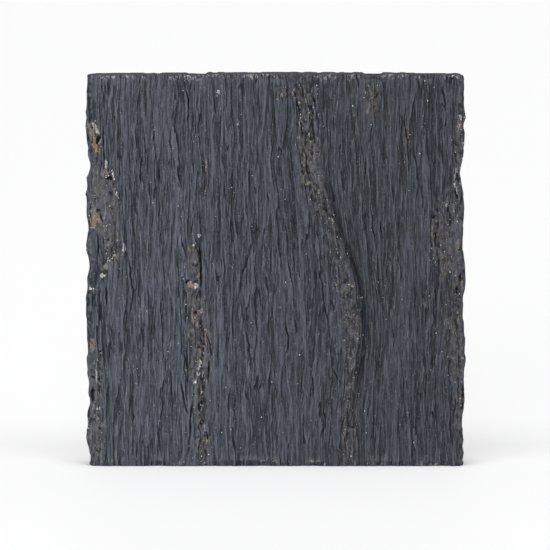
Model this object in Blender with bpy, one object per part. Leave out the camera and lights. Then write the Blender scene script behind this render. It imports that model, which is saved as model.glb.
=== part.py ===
"""A slab of riven slate that stands on its sawn base.

Metres, +Z up. The front looks along -Y, and the origin lies under the middle of the base.
The stone was split along its cleavage at the front and the back, sawn at the base and the top,
and broken by hand down both sides. Its grain runs up the slab.
"""

import bmesh
import bpy
import numpy as np

# Overall size of the stone, and the distance between the planes that its two faces stand out from.
HEIGHT = 0.300
WIDTH = 0.2905
THICKNESS = 0.040
CORE_THICKNESS = 0.035

# The grid of faces that is shaped into the stone, and the share of them that is kept after it.
COLUMNS = 150
ROWS = 110
LAYERS = 12
RIM = 0.0012
KEPT_SHARE = 0.125
FLAT_TOLERANCE = 0.0003

# Worn corners and arrises.
TOP_LEFT_CORNER = 0.0016
TOP_RIGHT_CORNER = 0.0028
BASE_CORNER = 0.0020
TOP_WEAR = 0.0013
BASE_WEAR = 0.0006

# Bites that hand tools took out of the two sides: height, reach up and down, depth, and lean,
# from -1 where only the front was struck to 1 where only the back was.
LEFT_BITES = (
    (0.2950, 0.0170, 0.0019, 0.0),
    (0.2780, 0.0085, 0.0014, 0.0),
    (0.2650, 0.0060, 0.0008, 0.0),
    (0.2620, 0.0120, 0.0030, 1.0),
    (0.2370, 0.0240, 0.0017, 0.0),
    (0.2290, 0.0100, 0.0021, 0.0),
    (0.2135, 0.0080, 0.0015, 0.0),
    (0.1960, 0.0200, 0.0040, 1.0),
    (0.1800, 0.0150, 0.0019, 0.0),
    (0.1545, 0.0150, 0.0030, 0.0),
    (0.1365, 0.0090, 0.0011, 0.0),
    (0.1060, 0.0180, 0.0036, 1.0),
    (0.0890, 0.0140, 0.0017, 0.0),
    (0.0735, 0.0100, 0.0013, 0.0),
    (0.0620, 0.0100, 0.0025, 0.0),
    (0.0480, 0.0120, 0.0027, 0.0),
    (0.0300, 0.0140, 0.0030, 1.0),
    (0.0310, 0.0110, 0.0011, 0.0),
    (0.0060, 0.0170, 0.0028, 0.0),
)
RIGHT_BITES = (
    (0.2950, 0.0160, 0.0023, 0.0),
    (0.2790, 0.0120, 0.0021, 0.0),
    (0.2603, 0.0070, 0.0014, 0.0),
    (0.2500, 0.0400, 0.0010, 0.0),
    (0.2380, 0.0180, 0.0034, 1.0),
    (0.2205, 0.0255, 0.0043, 0.0),
    (0.1955, 0.0160, 0.0015, 0.0),
    (0.1735, 0.0230, 0.0031, 0.0),
    (0.1590, 0.0200, 0.0038, 1.0),
    (0.1290, 0.0060, 0.0009, 0.0),
    (0.1150, 0.0280, 0.0022, 0.0),
    (0.0876, 0.0100, 0.0011, 0.0),
    (0.0670, 0.0180, 0.0019, 0.0),
    (0.0460, 0.0160, 0.0034, 1.0),
    (0.0300, 0.0220, 0.0030, 0.0),
    (0.0130, 0.0070, 0.0018, 0.0),
    (0.0030, 0.0100, 0.0017, 0.0),
)
SIDE_HOLD = 10

# Split sheets that show on the sides, as thick, tall, how far they stand back; and chips along
# the long arrises, as tall, depth, and the share of the thickness from which they begin.
SIDE_SHEETS = ((0.0080, 0.060, 0.0011), (0.0035, 0.022, 0.0007))
SIDE_CHIPPING = (0.012, 0.0010, 0.7)

# The proudest line of each side: where it lies through the thickness, how far it wanders, over
# what height, and how far from it the side has fallen back.
CREST = (-0.45, 0.40, 0.040, 0.55)

# The seam of harder rock that slants down the front: height, middle, half width, rise.
SEAM = (
    (0.300, 0.0210, 0.0100, 0.0012),
    (0.263, 0.0231, 0.0110, 0.0016),
    (0.226, 0.0247, 0.0117, 0.0022),
    (0.208, 0.0285, 0.0125, 0.0028),
    (0.190, 0.0333, 0.0135, 0.0034),
    (0.171, 0.0384, 0.0142, 0.0040),
    (0.153, 0.0443, 0.0149, 0.0044),
    (0.135, 0.0493, 0.0155, 0.0046),
    (0.116, 0.0506, 0.0158, 0.0046),
    (0.098, 0.0518, 0.0149, 0.0042),
    (0.080, 0.0530, 0.0112, 0.0032),
    (0.061, 0.0550, 0.0063, 0.0018),
    (0.043, 0.0538, 0.0025, 0.0008),
    (0.000, 0.0520, 0.0020, 0.0004),
)
SEAM_HOME = 0.043
SEAM_PULL = 0.100
SEAM_DRAG = 0.30
WANDER_ENDS = 0.8
SEAM_FLANK = 0.0050
SEAM_LUMPS = (0.0090, 0.0160, 0.0011, 26)
SEAM_RAMP = 0.0140
SEAM_TROUGH = 0.30

# The open gash left of the middle: height, middle, half width, depth.
GASH = (
    (0.182, -0.0575, 0.0020, 0.0000),
    (0.168, -0.0595, 0.0035, 0.0028),
    (0.140, -0.0605, 0.0050, 0.0048),
    (0.120, -0.0615, 0.0055, 0.0036),
    (0.095, -0.0580, 0.0050, 0.0030),
    (0.075, -0.0600, 0.0045, 0.0018),
    (0.045, -0.0575, 0.0045, 0.0020),
    (0.000, -0.0555, 0.0040, 0.0012),
)

# The broken margins of the front: height, width from the side, drop at the ledge, fall to the side.
LEFT_MARGIN = (
    (0.300, 0.0115, 0.0008, 0.0008),
    (0.240, 0.0120, 0.0012, 0.0020),
    (0.226, 0.0170, 0.0022, 0.0026),
    (0.205, 0.0225, 0.0028, 0.0022),
    (0.165, 0.0260, 0.0024, 0.0020),
    (0.150, 0.0140, 0.0020, 0.0026),
    (0.130, 0.0070, 0.0006, 0.0020),
    (0.090, 0.0070, 0.0010, 0.0026),
    (0.050, 0.0090, 0.0014, 0.0030),
    (0.034, 0.0140, 0.0020, 0.0026),
    (0.000, 0.0120, 0.0014, 0.0018),
)
RIGHT_MARGIN = (
    (0.300, 0.0060, 0.0006, 0.0008),
    (0.218, 0.0090, 0.0008, 0.0022),
    (0.205, 0.0190, 0.0012, 0.0030),
    (0.170, 0.0230, 0.0018, 0.0034),
    (0.142, 0.0170, 0.0012, 0.0028),
    (0.100, 0.0110, 0.0010, 0.0024),
    (0.052, 0.0090, 0.0014, 0.0026),
    (0.000, 0.0070, 0.0008, 0.0014),
)
BACK_LEFT_MARGIN = (
    (0.300, 0.0180, 0.0014, 0.0020),
    (0.190, 0.0100, 0.0008, 0.0026),
    (0.110, 0.0260, 0.0026, 0.0022),
    (0.000, 0.0120, 0.0010, 0.0020),
)
BACK_RIGHT_MARGIN = (
    (0.300, 0.0080, 0.0008, 0.0016),
    (0.225, 0.0280, 0.0024, 0.0026),
    (0.140, 0.0120, 0.0010, 0.0022),
    (0.060, 0.0200, 0.0020, 0.0030),
    (0.000, 0.0140, 0.0012, 0.0018),
)
MARGIN_EDGE = 0.0035

# The raised blade of rock low on the left margin.
BLADE = ((0.092, -0.1345), (0.052, -0.1305))
BLADE_HALF_WIDTH = 0.0075
BLADE_RISE = 0.0022

# Grooves: a route of heights and places across, half width, depth.
FRONT_GROOVES = (
    (((0.170, -0.1136), (0.146, -0.1098), (0.127, -0.1086), (0.096, -0.1150)), 0.0045, 0.0016),
    (((0.246, -0.1045), (0.229, -0.1020), (0.204, -0.1050)), 0.0045, 0.0014),
    (((0.178, -0.0220), (0.149, -0.0245), (0.127, -0.0275), (0.106, -0.0290)), 0.0045, 0.0016),
    (((0.262, 0.0815), (0.230, 0.0815), (0.196, 0.0835)), 0.0075, 0.0022),
    (((0.116, 0.0075), (0.084, 0.0105)), 0.0045, 0.0014),
    (((0.064, 0.0195), (0.028, 0.0200)), 0.0045, 0.0014),
    (((0.296, -0.0170), (0.262, -0.0150)), 0.0060, 0.0012),
    (((0.070, 0.1000), (0.004, 0.1080)), 0.0080, 0.0014),
)
BACK_GROOVES = (
    (((0.262, -0.0600), (0.215, -0.0640), (0.160, -0.0600)), 0.0070, 0.0020),
    (((0.150, 0.0300), (0.095, 0.0340), (0.040, 0.0300)), 0.0075, 0.0022),
    (((0.285, 0.0900), (0.235, 0.0860)), 0.0060, 0.0016),
    (((0.110, -0.0950), (0.060, -0.0900)), 0.0060, 0.0016),
)

# The long ledge that crosses the back, and the drop below it.
BACK_LEDGE = ((0.300, 0.0420), (0.200, 0.0200), (0.110, -0.0260), (0.000, -0.0400))
BACK_LEDGE_DROP = 0.0026

# Scars along the arrises of the base and the top: place, reach, how far up or down, depth.
BASE_SCARS = (
    (-0.0190, 0.0380, 0.0062, 0.0015),
    (0.0300, 0.0120, 0.0040, 0.0012),
    (0.0840, 0.0260, 0.0050, 0.0012),
    (-0.0880, 0.0120, 0.0060, 0.0016),
    (0.1220, 0.0140, 0.0045, 0.0012),
)
TOP_SCARS = (
    (-0.0590, 0.0080, 0.0040, 0.0016),
    (-0.0050, 0.0220, 0.0050, 0.0012),
    (0.0730, 0.0120, 0.0050, 0.0018),
    (0.1120, 0.0200, 0.0040, 0.0012),
    (-0.1180, 0.0260, 0.0036, 0.0010),
)

# Swells, plates and ridges of the riven faces: size across, size along the grain, height, seed.
WANDER = (0.030, 0.100, 0.0016, 11)
FRONT_SWELLS = ((0.046, 0.260, 0.0014, 21), (0.017, 0.120, 0.0008, 22))
FRONT_PLATES = ((0.0150, 0.130, 0.0015, 24), (0.0070, 0.075, 0.0009, 27))
FRONT_RIDGES = ((0.0095, 0.090, 0.0012, 23), (0.0050, 0.055, 0.0007, 25))
BACK_SWELLS = ((0.052, 0.240, 0.0020, 31), (0.019, 0.130, 0.0012, 32))
BACK_PLATES = ((0.0190, 0.140, 0.0018, 34), (0.0080, 0.080, 0.0010, 36))
BACK_RIDGES = ((0.0110, 0.090, 0.0013, 33), (0.0055, 0.055, 0.0007, 35))
LEAF_LEVEL = 0.6
LEAF_TILT = 0.8
LEAF_STEP = 0.0007
NOISE_CELLS = 64
ARRIS_SPREAD = 3.5

SLATE_COLOUR = (0.066, 0.070, 0.085, 1.0)
SLATE_ROUGHNESS = 0.78
SHARP_ANGLE = np.radians(18)


def smooth(start, end, value):
    """0 before start, 1 after end, with a soft step between."""
    t = np.clip((value - start) / (end - start), 0.0, 1.0)
    return t * t * (3.0 - 2.0 * t)


def bell(distance, reach):
    """1 in the middle, falling softly to 0 at reach on either side."""
    t = np.clip(np.abs(distance) / reach, 0.0, 1.0)
    return (1.0 - t * t) ** 2


def along(points, height, column=1):
    """One column of a list of points at the given heights, joined by soft steps."""
    rows = sorted(points)
    heights = np.array([row[0] for row in rows])
    values = np.array([row[column] for row in rows])
    upper = np.clip(np.searchsorted(heights, height), 1, len(rows) - 1)
    step = smooth(heights[upper - 1], heights[upper], height)
    return values[upper - 1] * (1.0 - step) + values[upper] * step


def curve(points, height, column=1):
    """One column of a list of points at the given heights, joined by a smooth curve."""
    rows = sorted(points)
    heights = np.array([row[0] for row in rows])
    values = np.array([row[column] for row in rows])
    slopes = np.gradient(values, heights)
    upper = np.clip(np.searchsorted(heights, height), 1, len(rows) - 1)
    lower = upper - 1
    span = heights[upper] - heights[lower]
    t = np.clip((height - heights[lower]) / span, 0.0, 1.0)
    step = t * t * (3.0 - 2.0 * t)
    bend = t * (1.0 - t) * span * ((1.0 - t) * slopes[lower] - t * slopes[upper])
    return values[lower] * (1.0 - step) + values[upper] * step + bend


def noise(across, up, seed):
    """Gradient noise on a plane, between about -1 and 1."""
    angle = np.random.default_rng(seed).uniform(0.0, 2.0 * np.pi, (NOISE_CELLS, NOISE_CELLS))
    left = np.floor(across).astype(int)
    low = np.floor(up).astype(int)
    du = across - left
    dv = up - low
    corners = []
    for i in (0, 1):
        for j in (0, 1):
            turn = angle[(left + i) % NOISE_CELLS, (low + j) % NOISE_CELLS]
            corners.append(np.cos(turn) * (du - i) + np.sin(turn) * (dv - j))
    a = du * du * du * (du * (du * 6.0 - 15.0) + 10.0)
    b = dv * dv * dv * (dv * (dv * 6.0 - 15.0) + 10.0)
    low_edge = corners[0] * (1.0 - a) + corners[2] * a
    high_edge = corners[1] * (1.0 - a) + corners[3] * a
    return 1.5 * (low_edge * (1.0 - b) + high_edge * b)


def grain_noise(grain, height, form):
    """Noise stretched along the grain."""
    size_across, size_along, size, seed = form
    return size * noise(grain / size_across, height / size_along, seed)


def follow_grain(grain, height):
    """Place across the slab of a grain line: the seam drags the lines near it along."""
    flank = curve(SEAM, height) + curve(SEAM, height, 2)
    pull = SEAM_DRAG * (flank - SEAM_HOME) * bell(grain - SEAM_HOME, SEAM_PULL)
    held = 1.0 - smooth(WANDER_ENDS, 1.0, np.abs(grain) / (WIDTH / 2.0))
    return grain + pull + held * grain_noise(grain, height, WANDER)


def plates(grain, height, form):
    """Long leaves of slate, each with its own level and tilt, which meet in narrow steps."""
    size_across, size_along, size, seed = form
    draw = np.random.default_rng(seed)
    jitter = draw.uniform(0.1, 0.9, (2, NOISE_CELLS, NOISE_CELLS))
    leaf = draw.uniform(-1.0, 1.0, (3, NOISE_CELLS, NOISE_CELLS))
    u = grain / size_across
    v = height / size_along
    left = np.floor(u).astype(int)
    low = np.floor(v).astype(int)
    relief = np.zeros(np.shape(u))
    total = np.zeros(np.shape(u))
    for i in (-1, 0, 1):
        for j in (-1, 0, 1):
            cell = ((left + i) % NOISE_CELLS, (low + j) % NOISE_CELLS)
            du = u - (left + i + jitter[0][cell])
            dv = v - (low + j + jitter[1][cell])
            tilt = leaf[1][cell] * du + leaf[2][cell] * dv
            level = LEAF_LEVEL * leaf[0][cell] + LEAF_TILT * tilt
            share = np.exp(-(du * du + dv * dv) * size_across / LEAF_STEP)
            relief += level * share
            total += share
    return size * relief / total


def riven(grain, height, swells, leaves, ridges):
    """Outward relief of a split face: broad swells, plates, and ridges with creases between."""
    relief = sum(grain_noise(grain, height, swell) for swell in swells)
    relief += sum(plates(grain, height, leaf) for leaf in leaves)
    return relief + sum(np.abs(grain_noise(grain, height, ridge)) for ridge in ridges)


def seam(x, height):
    """The slanting seam: a soft ramp on its left, a steep flank on its right."""
    offset = x - curve(SEAM, height)
    half = curve(SEAM, height, 2)
    rise = curve(SEAM, height, 3)
    ramp = smooth(-half - SEAM_RAMP / 2.0, -half + SEAM_RAMP / 2.0, offset)
    fall = 1.0 - smooth(half - SEAM_FLANK / 2.0, half + SEAM_FLANK / 2.0, offset)
    trough = SEAM_TROUGH * bell(offset - half - 1.5 * SEAM_FLANK, 3.0 * SEAM_FLANK)
    lumps = np.abs(grain_noise(x, height, SEAM_LUMPS)) * smooth(0.0, 0.003, half)
    return rise * (ramp * fall - trough) + lumps * ramp * fall


def gash(x, height):
    """The open gash: a facet that slopes down to a steep wall on its right."""
    offset = x - along(GASH, height)
    half = along(GASH, height, 2)
    slope = smooth(-half, 0.4 * half, offset)
    wall = 1.0 - smooth(0.5 * half, half, offset)
    return -along(GASH, height, 3) * slope * wall


def margin(from_side, height, points):
    """A broken margin: a ledge, and a fall from it towards the side."""
    width = along(points, height)
    outside = 1.0 - smooth(width - MARGIN_EDGE, width, from_side)
    fall = np.clip(1.0 - from_side / width, 0.0, 1.0)
    return -along(points, height, 2) * outside - along(points, height, 3) * fall * fall


def groove(x, height, route, half_width, depth):
    """A groove that runs along a route and dies out at both ends."""
    ends = [point[0] for point in route]
    middle = (min(ends) + max(ends)) / 2.0
    reach = (max(ends) - min(ends)) / 2.0
    return -depth * bell(x - along(route, height), half_width) * bell(height - middle, reach)


def blade(x, height):
    """The raised blade, which dies out at both ends."""
    return -groove(x, height, BLADE, BLADE_HALF_WIDTH, BLADE_RISE)


def arris_scar(x, from_arris, place, reach, tall, depth):
    """A shallow scar that opens on an arris."""
    return depth * bell(x - place, reach) * (1.0 - smooth(0.4 * tall, tall, from_arris))


def front_relief(grain, x, height):
    """How far the front stands out from its plane."""
    relief = riven(grain, height, FRONT_SWELLS, FRONT_PLATES, FRONT_RIDGES)
    relief += seam(x, height) + gash(x, height) + blade(x, height)
    relief += margin(x + WIDTH / 2.0, height, LEFT_MARGIN)
    relief += margin(WIDTH / 2.0 - x, height, RIGHT_MARGIN)
    relief += sum(groove(x, height, *form) for form in FRONT_GROOVES)
    relief -= sum(arris_scar(x, height, *form) for form in BASE_SCARS)
    relief -= sum(arris_scar(x, HEIGHT - height, *form) for form in TOP_SCARS)
    return relief


def back_relief(grain, x, height):
    """How far the back stands out from its plane."""
    relief = riven(grain, height, BACK_SWELLS, BACK_PLATES, BACK_RIDGES)
    ledge = along(BACK_LEDGE, height)
    relief -= BACK_LEDGE_DROP * smooth(0.0, MARGIN_EDGE, x - ledge) * bell(x - ledge, WIDTH / 2.0)
    relief += margin(x + WIDTH / 2.0, height, BACK_LEFT_MARGIN)
    relief += margin(WIDTH / 2.0 - x, height, BACK_RIGHT_MARGIN)
    relief += sum(groove(x, height, *form) for form in BACK_GROOVES)
    relief -= sum(arris_scar(-x, height, *form) for form in BASE_SCARS)
    relief -= sum(arris_scar(-x, HEIGHT - height, *form) for form in TOP_SCARS)
    return relief


def worn_edge(height, wear_at_top, wear_at_base):
    """How far a face falls back at the top and base arrises."""
    at_top = wear_at_top * (1.0 - smooth(0.0, RIM, HEIGHT - height))
    at_base = wear_at_base * (1.0 - smooth(0.0, RIM, height))
    return at_top + at_base


def corner(distance, radius):
    """How far a rounded corner falls back at a distance from its end."""
    inside = np.clip(radius - distance, 0.0, radius)
    return radius - np.sqrt(radius * radius - inside * inside)


def bite(depth, height, middle, reach, size, lean):
    """One bite out of a side; depth runs from -1 at the front to 1 at the back."""
    struck = smooth(-1.0, 1.0, 1.0 + 2.0 * lean * depth - 0.5 * abs(lean))
    return size * bell(height - middle, reach) * struck


def side_inset(depth, height, bites, top_corner, seed):
    """How far a side falls inwards; depth runs from -1 at the front to 1 at the back."""
    through = depth * CORE_THICKNESS / 2.0
    place, wander, span, reach = CREST
    crest = place + wander * noise(height / span, 0.0 * height, seed)
    fallen = smooth(0.0, reach, np.abs(depth - crest))
    back = sum(bite(depth, height, *form) for form in bites)
    split = np.zeros(np.shape(height))
    for count, (thick, tall, size) in enumerate(SIDE_SHEETS):
        split += size * (1.0 + noise(through / thick, height / tall, seed + count))
    tall, size, start = SIDE_CHIPPING
    chipped = 1.0 + noise(np.sign(depth) * ARRIS_SPREAD, height / tall, seed + len(SIDE_SHEETS))
    split += size * chipped * smooth(start, 1.0, np.abs(depth))
    rounded = corner(HEIGHT - height, top_corner) + corner(height, BASE_CORNER)
    return back + split * fallen + rounded


def shape_stone(position):
    """Turns the points of an even block into the points of the stone."""
    across = position[:, 0] / (WIDTH / 2.0)
    depth = position[:, 1] / (CORE_THICKNESS / 2.0)
    height = position[:, 2]
    grain = position[:, 0]
    x = follow_grain(grain, height)
    left = side_inset(depth, height, LEFT_BITES, TOP_LEFT_CORNER, 41)
    right = side_inset(depth, height, RIGHT_BITES, TOP_RIGHT_CORNER, 51)
    hold = np.abs(across) ** SIDE_HOLD
    x += hold * np.where(across < 0.0, left, -right)
    plane = CORE_THICKNESS / 2.0 - worn_edge(height, TOP_WEAR, BASE_WEAR)
    front = -plane - front_relief(grain, x, height)
    back = plane + back_relief(grain, x, height)
    share = (depth + 1.0) / 2.0
    y = front * (1.0 - share) + back * share
    return np.column_stack((x, y, height))


def spread(index, count, size):
    """Place of a grid line, with the first and last lines close to the arrises."""
    return np.interp(index, (0, 1, count - 1, count), (0.0, RIM, size - RIM, size))


def block():
    """An even block of quads, its grid lines closer together at the arrises."""
    mesh = bmesh.new()
    bmesh.ops.create_cube(mesh, size=1.0)
    for axis, cuts in ((0, COLUMNS - 1), (1, LAYERS - 1), (2, ROWS - 1)):
        edges = [e for e in mesh.edges if abs(e.verts[0].co[axis] - e.verts[1].co[axis]) > 0.5]
        bmesh.ops.subdivide_edges(mesh, edges=edges, cuts=cuts, use_grid_fill=True)
    for vertex in mesh.verts:
        column = round((vertex.co.x + 0.5) * COLUMNS)
        row = round((vertex.co.z + 0.5) * ROWS)
        vertex.co.x = spread(column, COLUMNS, WIDTH) - WIDTH / 2.0
        vertex.co.y *= CORE_THICKNESS
        vertex.co.z = spread(row, ROWS, HEIGHT)
    return mesh


def slate_material():
    """Dull blue-grey slate."""
    material = bpy.data.materials.new("slate")
    material.use_nodes = True
    surface = material.node_tree.nodes["Principled BSDF"]
    surface.inputs["Base Color"].default_value = SLATE_COLOUR
    surface.inputs["Roughness"].default_value = SLATE_ROUGHNESS
    surface.inputs["Metallic"].default_value = 0.0
    return material


def split_into_facets(mesh):
    """A copy of the mesh with its even grid gathered into the facets that its shape needs."""
    fine = bpy.data.objects.new("fine_stone", mesh)
    bpy.context.scene.collection.objects.link(fine)
    facets = fine.modifiers.new("facets", "DECIMATE")
    facets.ratio = KEPT_SHARE
    graph = bpy.context.evaluated_depsgraph_get()
    faceted = bpy.data.meshes.new_from_object(fine.evaluated_get(graph))
    bpy.data.objects.remove(fine)
    return faceted


def fit_to_size(mesh):
    """Brings the stone to its stated size, centred over the origin, with its two ends exactly flat."""
    points = np.array([vertex.co for vertex in mesh.vertices])
    low = points.min(axis=0)
    high = points.max(axis=0)
    for axis, size in ((0, WIDTH), (1, THICKNESS)):
        middle = (low[axis] + high[axis]) / 2.0
        points[:, axis] = (points[:, axis] - middle) * size / (high[axis] - low[axis])
    points[points[:, 2] < FLAT_TOLERANCE, 2] = 0.0
    points[points[:, 2] > HEIGHT - FLAT_TOLERANCE, 2] = HEIGHT
    for vertex, place in zip(mesh.vertices, points):
        vertex.co = place


def slate_slab(collection):
    """The whole slab, one closed stone."""
    stone = block()
    bmesh.ops.recalc_face_normals(stone, faces=stone.faces)
    points = np.array([vertex.co for vertex in stone.verts])
    for vertex, place in zip(stone.verts, shape_stone(points)):
        vertex.co = place
    bmesh.ops.triangulate(stone, faces=stone.faces, quad_method="SHORT_EDGE")
    fine = bpy.data.meshes.new("fine_stone")
    stone.to_mesh(fine)
    stone.free()
    mesh = split_into_facets(fine)
    bpy.data.meshes.remove(fine)
    mesh.name = "slate_slab"
    fit_to_size(mesh)
    mesh.shade_smooth()
    mesh.set_sharp_from_angle(angle=SHARP_ANGLE)
    mesh.materials.append(slate_material())
    collection.objects.link(bpy.data.objects.new("slate_slab", mesh))


def main():
    """Clears the scene and builds the slab."""
    for old in list(bpy.data.objects):
        bpy.data.objects.remove(old)
    collection = bpy.data.collections.new("slate_slab")
    bpy.context.scene.collection.children.link(collection)
    slate_slab(collection)


main()
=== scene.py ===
"""Slate slab: the finished look of a riven stone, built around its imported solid.

Metres, +Z up. The front looks along -Y, and the grain runs up the slab.
"""

import math

import bpy
import numpy as np
from bpy.props import FloatProperty, FloatVectorProperty, IntProperty, PointerProperty
from bpy.types import Operator, Panel, PropertyGroup
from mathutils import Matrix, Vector


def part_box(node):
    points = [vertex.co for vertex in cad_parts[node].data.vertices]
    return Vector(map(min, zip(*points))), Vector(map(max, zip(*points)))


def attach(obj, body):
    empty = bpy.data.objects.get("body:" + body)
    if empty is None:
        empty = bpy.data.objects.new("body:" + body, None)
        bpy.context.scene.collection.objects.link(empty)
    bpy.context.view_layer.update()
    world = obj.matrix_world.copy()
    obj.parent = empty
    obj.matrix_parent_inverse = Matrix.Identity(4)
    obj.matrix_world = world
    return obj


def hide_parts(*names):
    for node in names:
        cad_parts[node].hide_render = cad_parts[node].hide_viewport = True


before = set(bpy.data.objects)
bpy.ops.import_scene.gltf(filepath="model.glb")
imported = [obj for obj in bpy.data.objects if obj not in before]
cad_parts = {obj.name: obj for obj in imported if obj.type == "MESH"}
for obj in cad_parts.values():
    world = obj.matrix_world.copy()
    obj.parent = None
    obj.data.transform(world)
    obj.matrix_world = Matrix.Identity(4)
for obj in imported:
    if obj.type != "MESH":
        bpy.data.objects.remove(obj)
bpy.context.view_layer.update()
STONE_LOW, STONE_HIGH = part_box("slate_slab")

bl_info = {
    "name": "Slate slab",
    "version": (1, 0, 0),
    "blender": (4, 5, 0),
    "location": "3D View > Sidebar > Slate slab",
    "description": "Builds a riven slate slab with its mineral crumbs, and a pale studio stage",
    "category": "Object",
}

# Overall size, from the solid: the two faces stand out from planes that are closer together than
# its full thickness. Each arris is worn over the height of its rim, which has rows at these shares.
HEIGHT = STONE_HIGH.z
WIDTH = STONE_HIGH.x - STONE_LOW.x
THICKNESS = STONE_HIGH.y - STONE_LOW.y
CORE_THICKNESS = 0.875 * THICKNESS
RIM = 0.0012
RIM_ROWS = (0.0, 0.25, 0.6)

# Radii of the corners, and how far the faces fall back at the arrises.
TOP_LEFT_CORNER = 0.0016
TOP_RIGHT_CORNER = 0.0028
BASE_CORNER = 0.0020
TOP_WEAR = 0.0013
BASE_WEAR = 0.0006

# Bites that hand tools took out of the two sides: height, reach up and down, depth, and lean,
# from -1 where only the front was struck to 1 where only the back was.
LEFT_BITES = (
    (0.2950, 0.0170, 0.0019, 0.0),
    (0.2780, 0.0085, 0.0014, 0.0),
    (0.2650, 0.0060, 0.0008, 0.0),
    (0.2620, 0.0120, 0.0030, 1.0),
    (0.2370, 0.0240, 0.0017, 0.0),
    (0.2290, 0.0100, 0.0021, 0.0),
    (0.2135, 0.0080, 0.0015, 0.0),
    (0.1960, 0.0200, 0.0040, 1.0),
    (0.1800, 0.0150, 0.0019, 0.0),
    (0.1545, 0.0150, 0.0030, 0.0),
    (0.1365, 0.0090, 0.0011, 0.0),
    (0.1060, 0.0180, 0.0036, 1.0),
    (0.0890, 0.0140, 0.0017, 0.0),
    (0.0735, 0.0100, 0.0013, 0.0),
    (0.0620, 0.0100, 0.0025, 0.0),
    (0.0480, 0.0120, 0.0027, 0.0),
    (0.0300, 0.0140, 0.0030, 1.0),
    (0.0310, 0.0110, 0.0011, 0.0),
    (0.0060, 0.0170, 0.0028, 0.0),
)
RIGHT_BITES = (
    (0.2950, 0.0160, 0.0023, 0.0),
    (0.2790, 0.0120, 0.0021, 0.0),
    (0.2603, 0.0070, 0.0014, 0.0),
    (0.2500, 0.0400, 0.0010, 0.0),
    (0.2380, 0.0180, 0.0034, 1.0),
    (0.2205, 0.0255, 0.0043, 0.0),
    (0.1955, 0.0160, 0.0015, 0.0),
    (0.1735, 0.0230, 0.0031, 0.0),
    (0.1590, 0.0200, 0.0038, 1.0),
    (0.1290, 0.0060, 0.0009, 0.0),
    (0.1150, 0.0280, 0.0022, 0.0),
    (0.0876, 0.0100, 0.0011, 0.0),
    (0.0670, 0.0180, 0.0019, 0.0),
    (0.0460, 0.0160, 0.0034, 1.0),
    (0.0300, 0.0220, 0.0030, 0.0),
    (0.0130, 0.0070, 0.0018, 0.0),
    (0.0030, 0.0100, 0.0017, 0.0),
)

# How fast a leaning bite dies away through the thickness, and how far it draws back to one face.
BITE_LEAN = (2.0, 0.5)

LEFT_SIDE_SEED = 41
RIGHT_SIDE_SEED = 51

# The power of the place across with which a side's own shape dies away over the faces, and the
# place across from which the stone counts as side.
SIDE_HOLD = 10
SIDE_FROM = 0.985

# Split sheets that show on the sides, as thick, tall, how far they stand back; and chips along
# the long arrises, as tall, depth, and the share of the thickness from which they begin.
SIDE_SHEETS = ((0.0080, 0.060, 0.0011), (0.0035, 0.022, 0.0007))
SIDE_CHIPPING = (0.012, 0.0010, 0.7)

# The proudest line of each side: where it lies through the thickness, how far it wanders, over
# what height, and how far from it the side has fallen back.
CREST = (-0.45, 0.40, 0.040, 0.55)

# The seam of harder rock that slants down the front: height, middle, half width, rise.
SEAM = (
    (0.300, 0.0210, 0.0100, 0.0012),
    (0.263, 0.0231, 0.0110, 0.0016),
    (0.226, 0.0247, 0.0117, 0.0022),
    (0.208, 0.0285, 0.0125, 0.0028),
    (0.190, 0.0333, 0.0135, 0.0034),
    (0.171, 0.0384, 0.0142, 0.0040),
    (0.153, 0.0443, 0.0149, 0.0044),
    (0.135, 0.0493, 0.0155, 0.0046),
    (0.116, 0.0506, 0.0158, 0.0046),
    (0.098, 0.0518, 0.0149, 0.0042),
    (0.080, 0.0530, 0.0112, 0.0032),
    (0.061, 0.0550, 0.0063, 0.0018),
    (0.043, 0.0538, 0.0025, 0.0008),
    (0.000, 0.0520, 0.0020, 0.0004),
)

# How the seam drags the grain beside it: the line that it would lie on if it ran straight up, how
# far from that the grain follows it, and the share of its slant that the grain takes. The grain
# wanders up to this share of the half width of the slab, and not at the sides.
SEAM_HOME = 0.043
SEAM_PULL = 0.100
SEAM_DRAG = 0.30
WANDER_ENDS = 0.8

# The steep flank on the seam's right, the rises between which painted shade darkens it, and the ramp
# on its left. The trough beyond the flank: share of the rise, place and reach in flanks. The lumps:
# size across, size up, height, seed; and the half width of the seam from which they are whole.
SEAM_FLANK = 0.0050
FLANK_RISE = (0.0004, 0.0040)
SEAM_RAMP = 0.0140
SEAM_TROUGH = (0.30, 1.5, 3.0)
SEAM_LUMPS = (0.0090, 0.0160, 0.0011, 26)
LUMPS_WHOLE = 0.003

# The broken right side of the seam, in half widths from its middle: where it starts and is whole,
# where it starts to end and has ended; and the half widths between which it fades in.
SEAM_BROKEN = (-0.5, 0.3, 0.8, 1.1)
SEAM_FADE = (0.001, 0.004)

# The open gash left of the middle: height, middle, half width, depth.
GASH = (
    (0.182, -0.0575, 0.0020, 0.0000),
    (0.168, -0.0595, 0.0035, 0.0028),
    (0.140, -0.0605, 0.0050, 0.0048),
    (0.120, -0.0615, 0.0055, 0.0036),
    (0.095, -0.0580, 0.0050, 0.0030),
    (0.075, -0.0600, 0.0045, 0.0018),
    (0.045, -0.0575, 0.0045, 0.0020),
    (0.000, -0.0555, 0.0040, 0.0012),
)

# Where the gash is deepest and where its wall starts, in half widths right of its middle.
GASH_FLOOR = 0.4
GASH_WALL = 0.5

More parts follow.
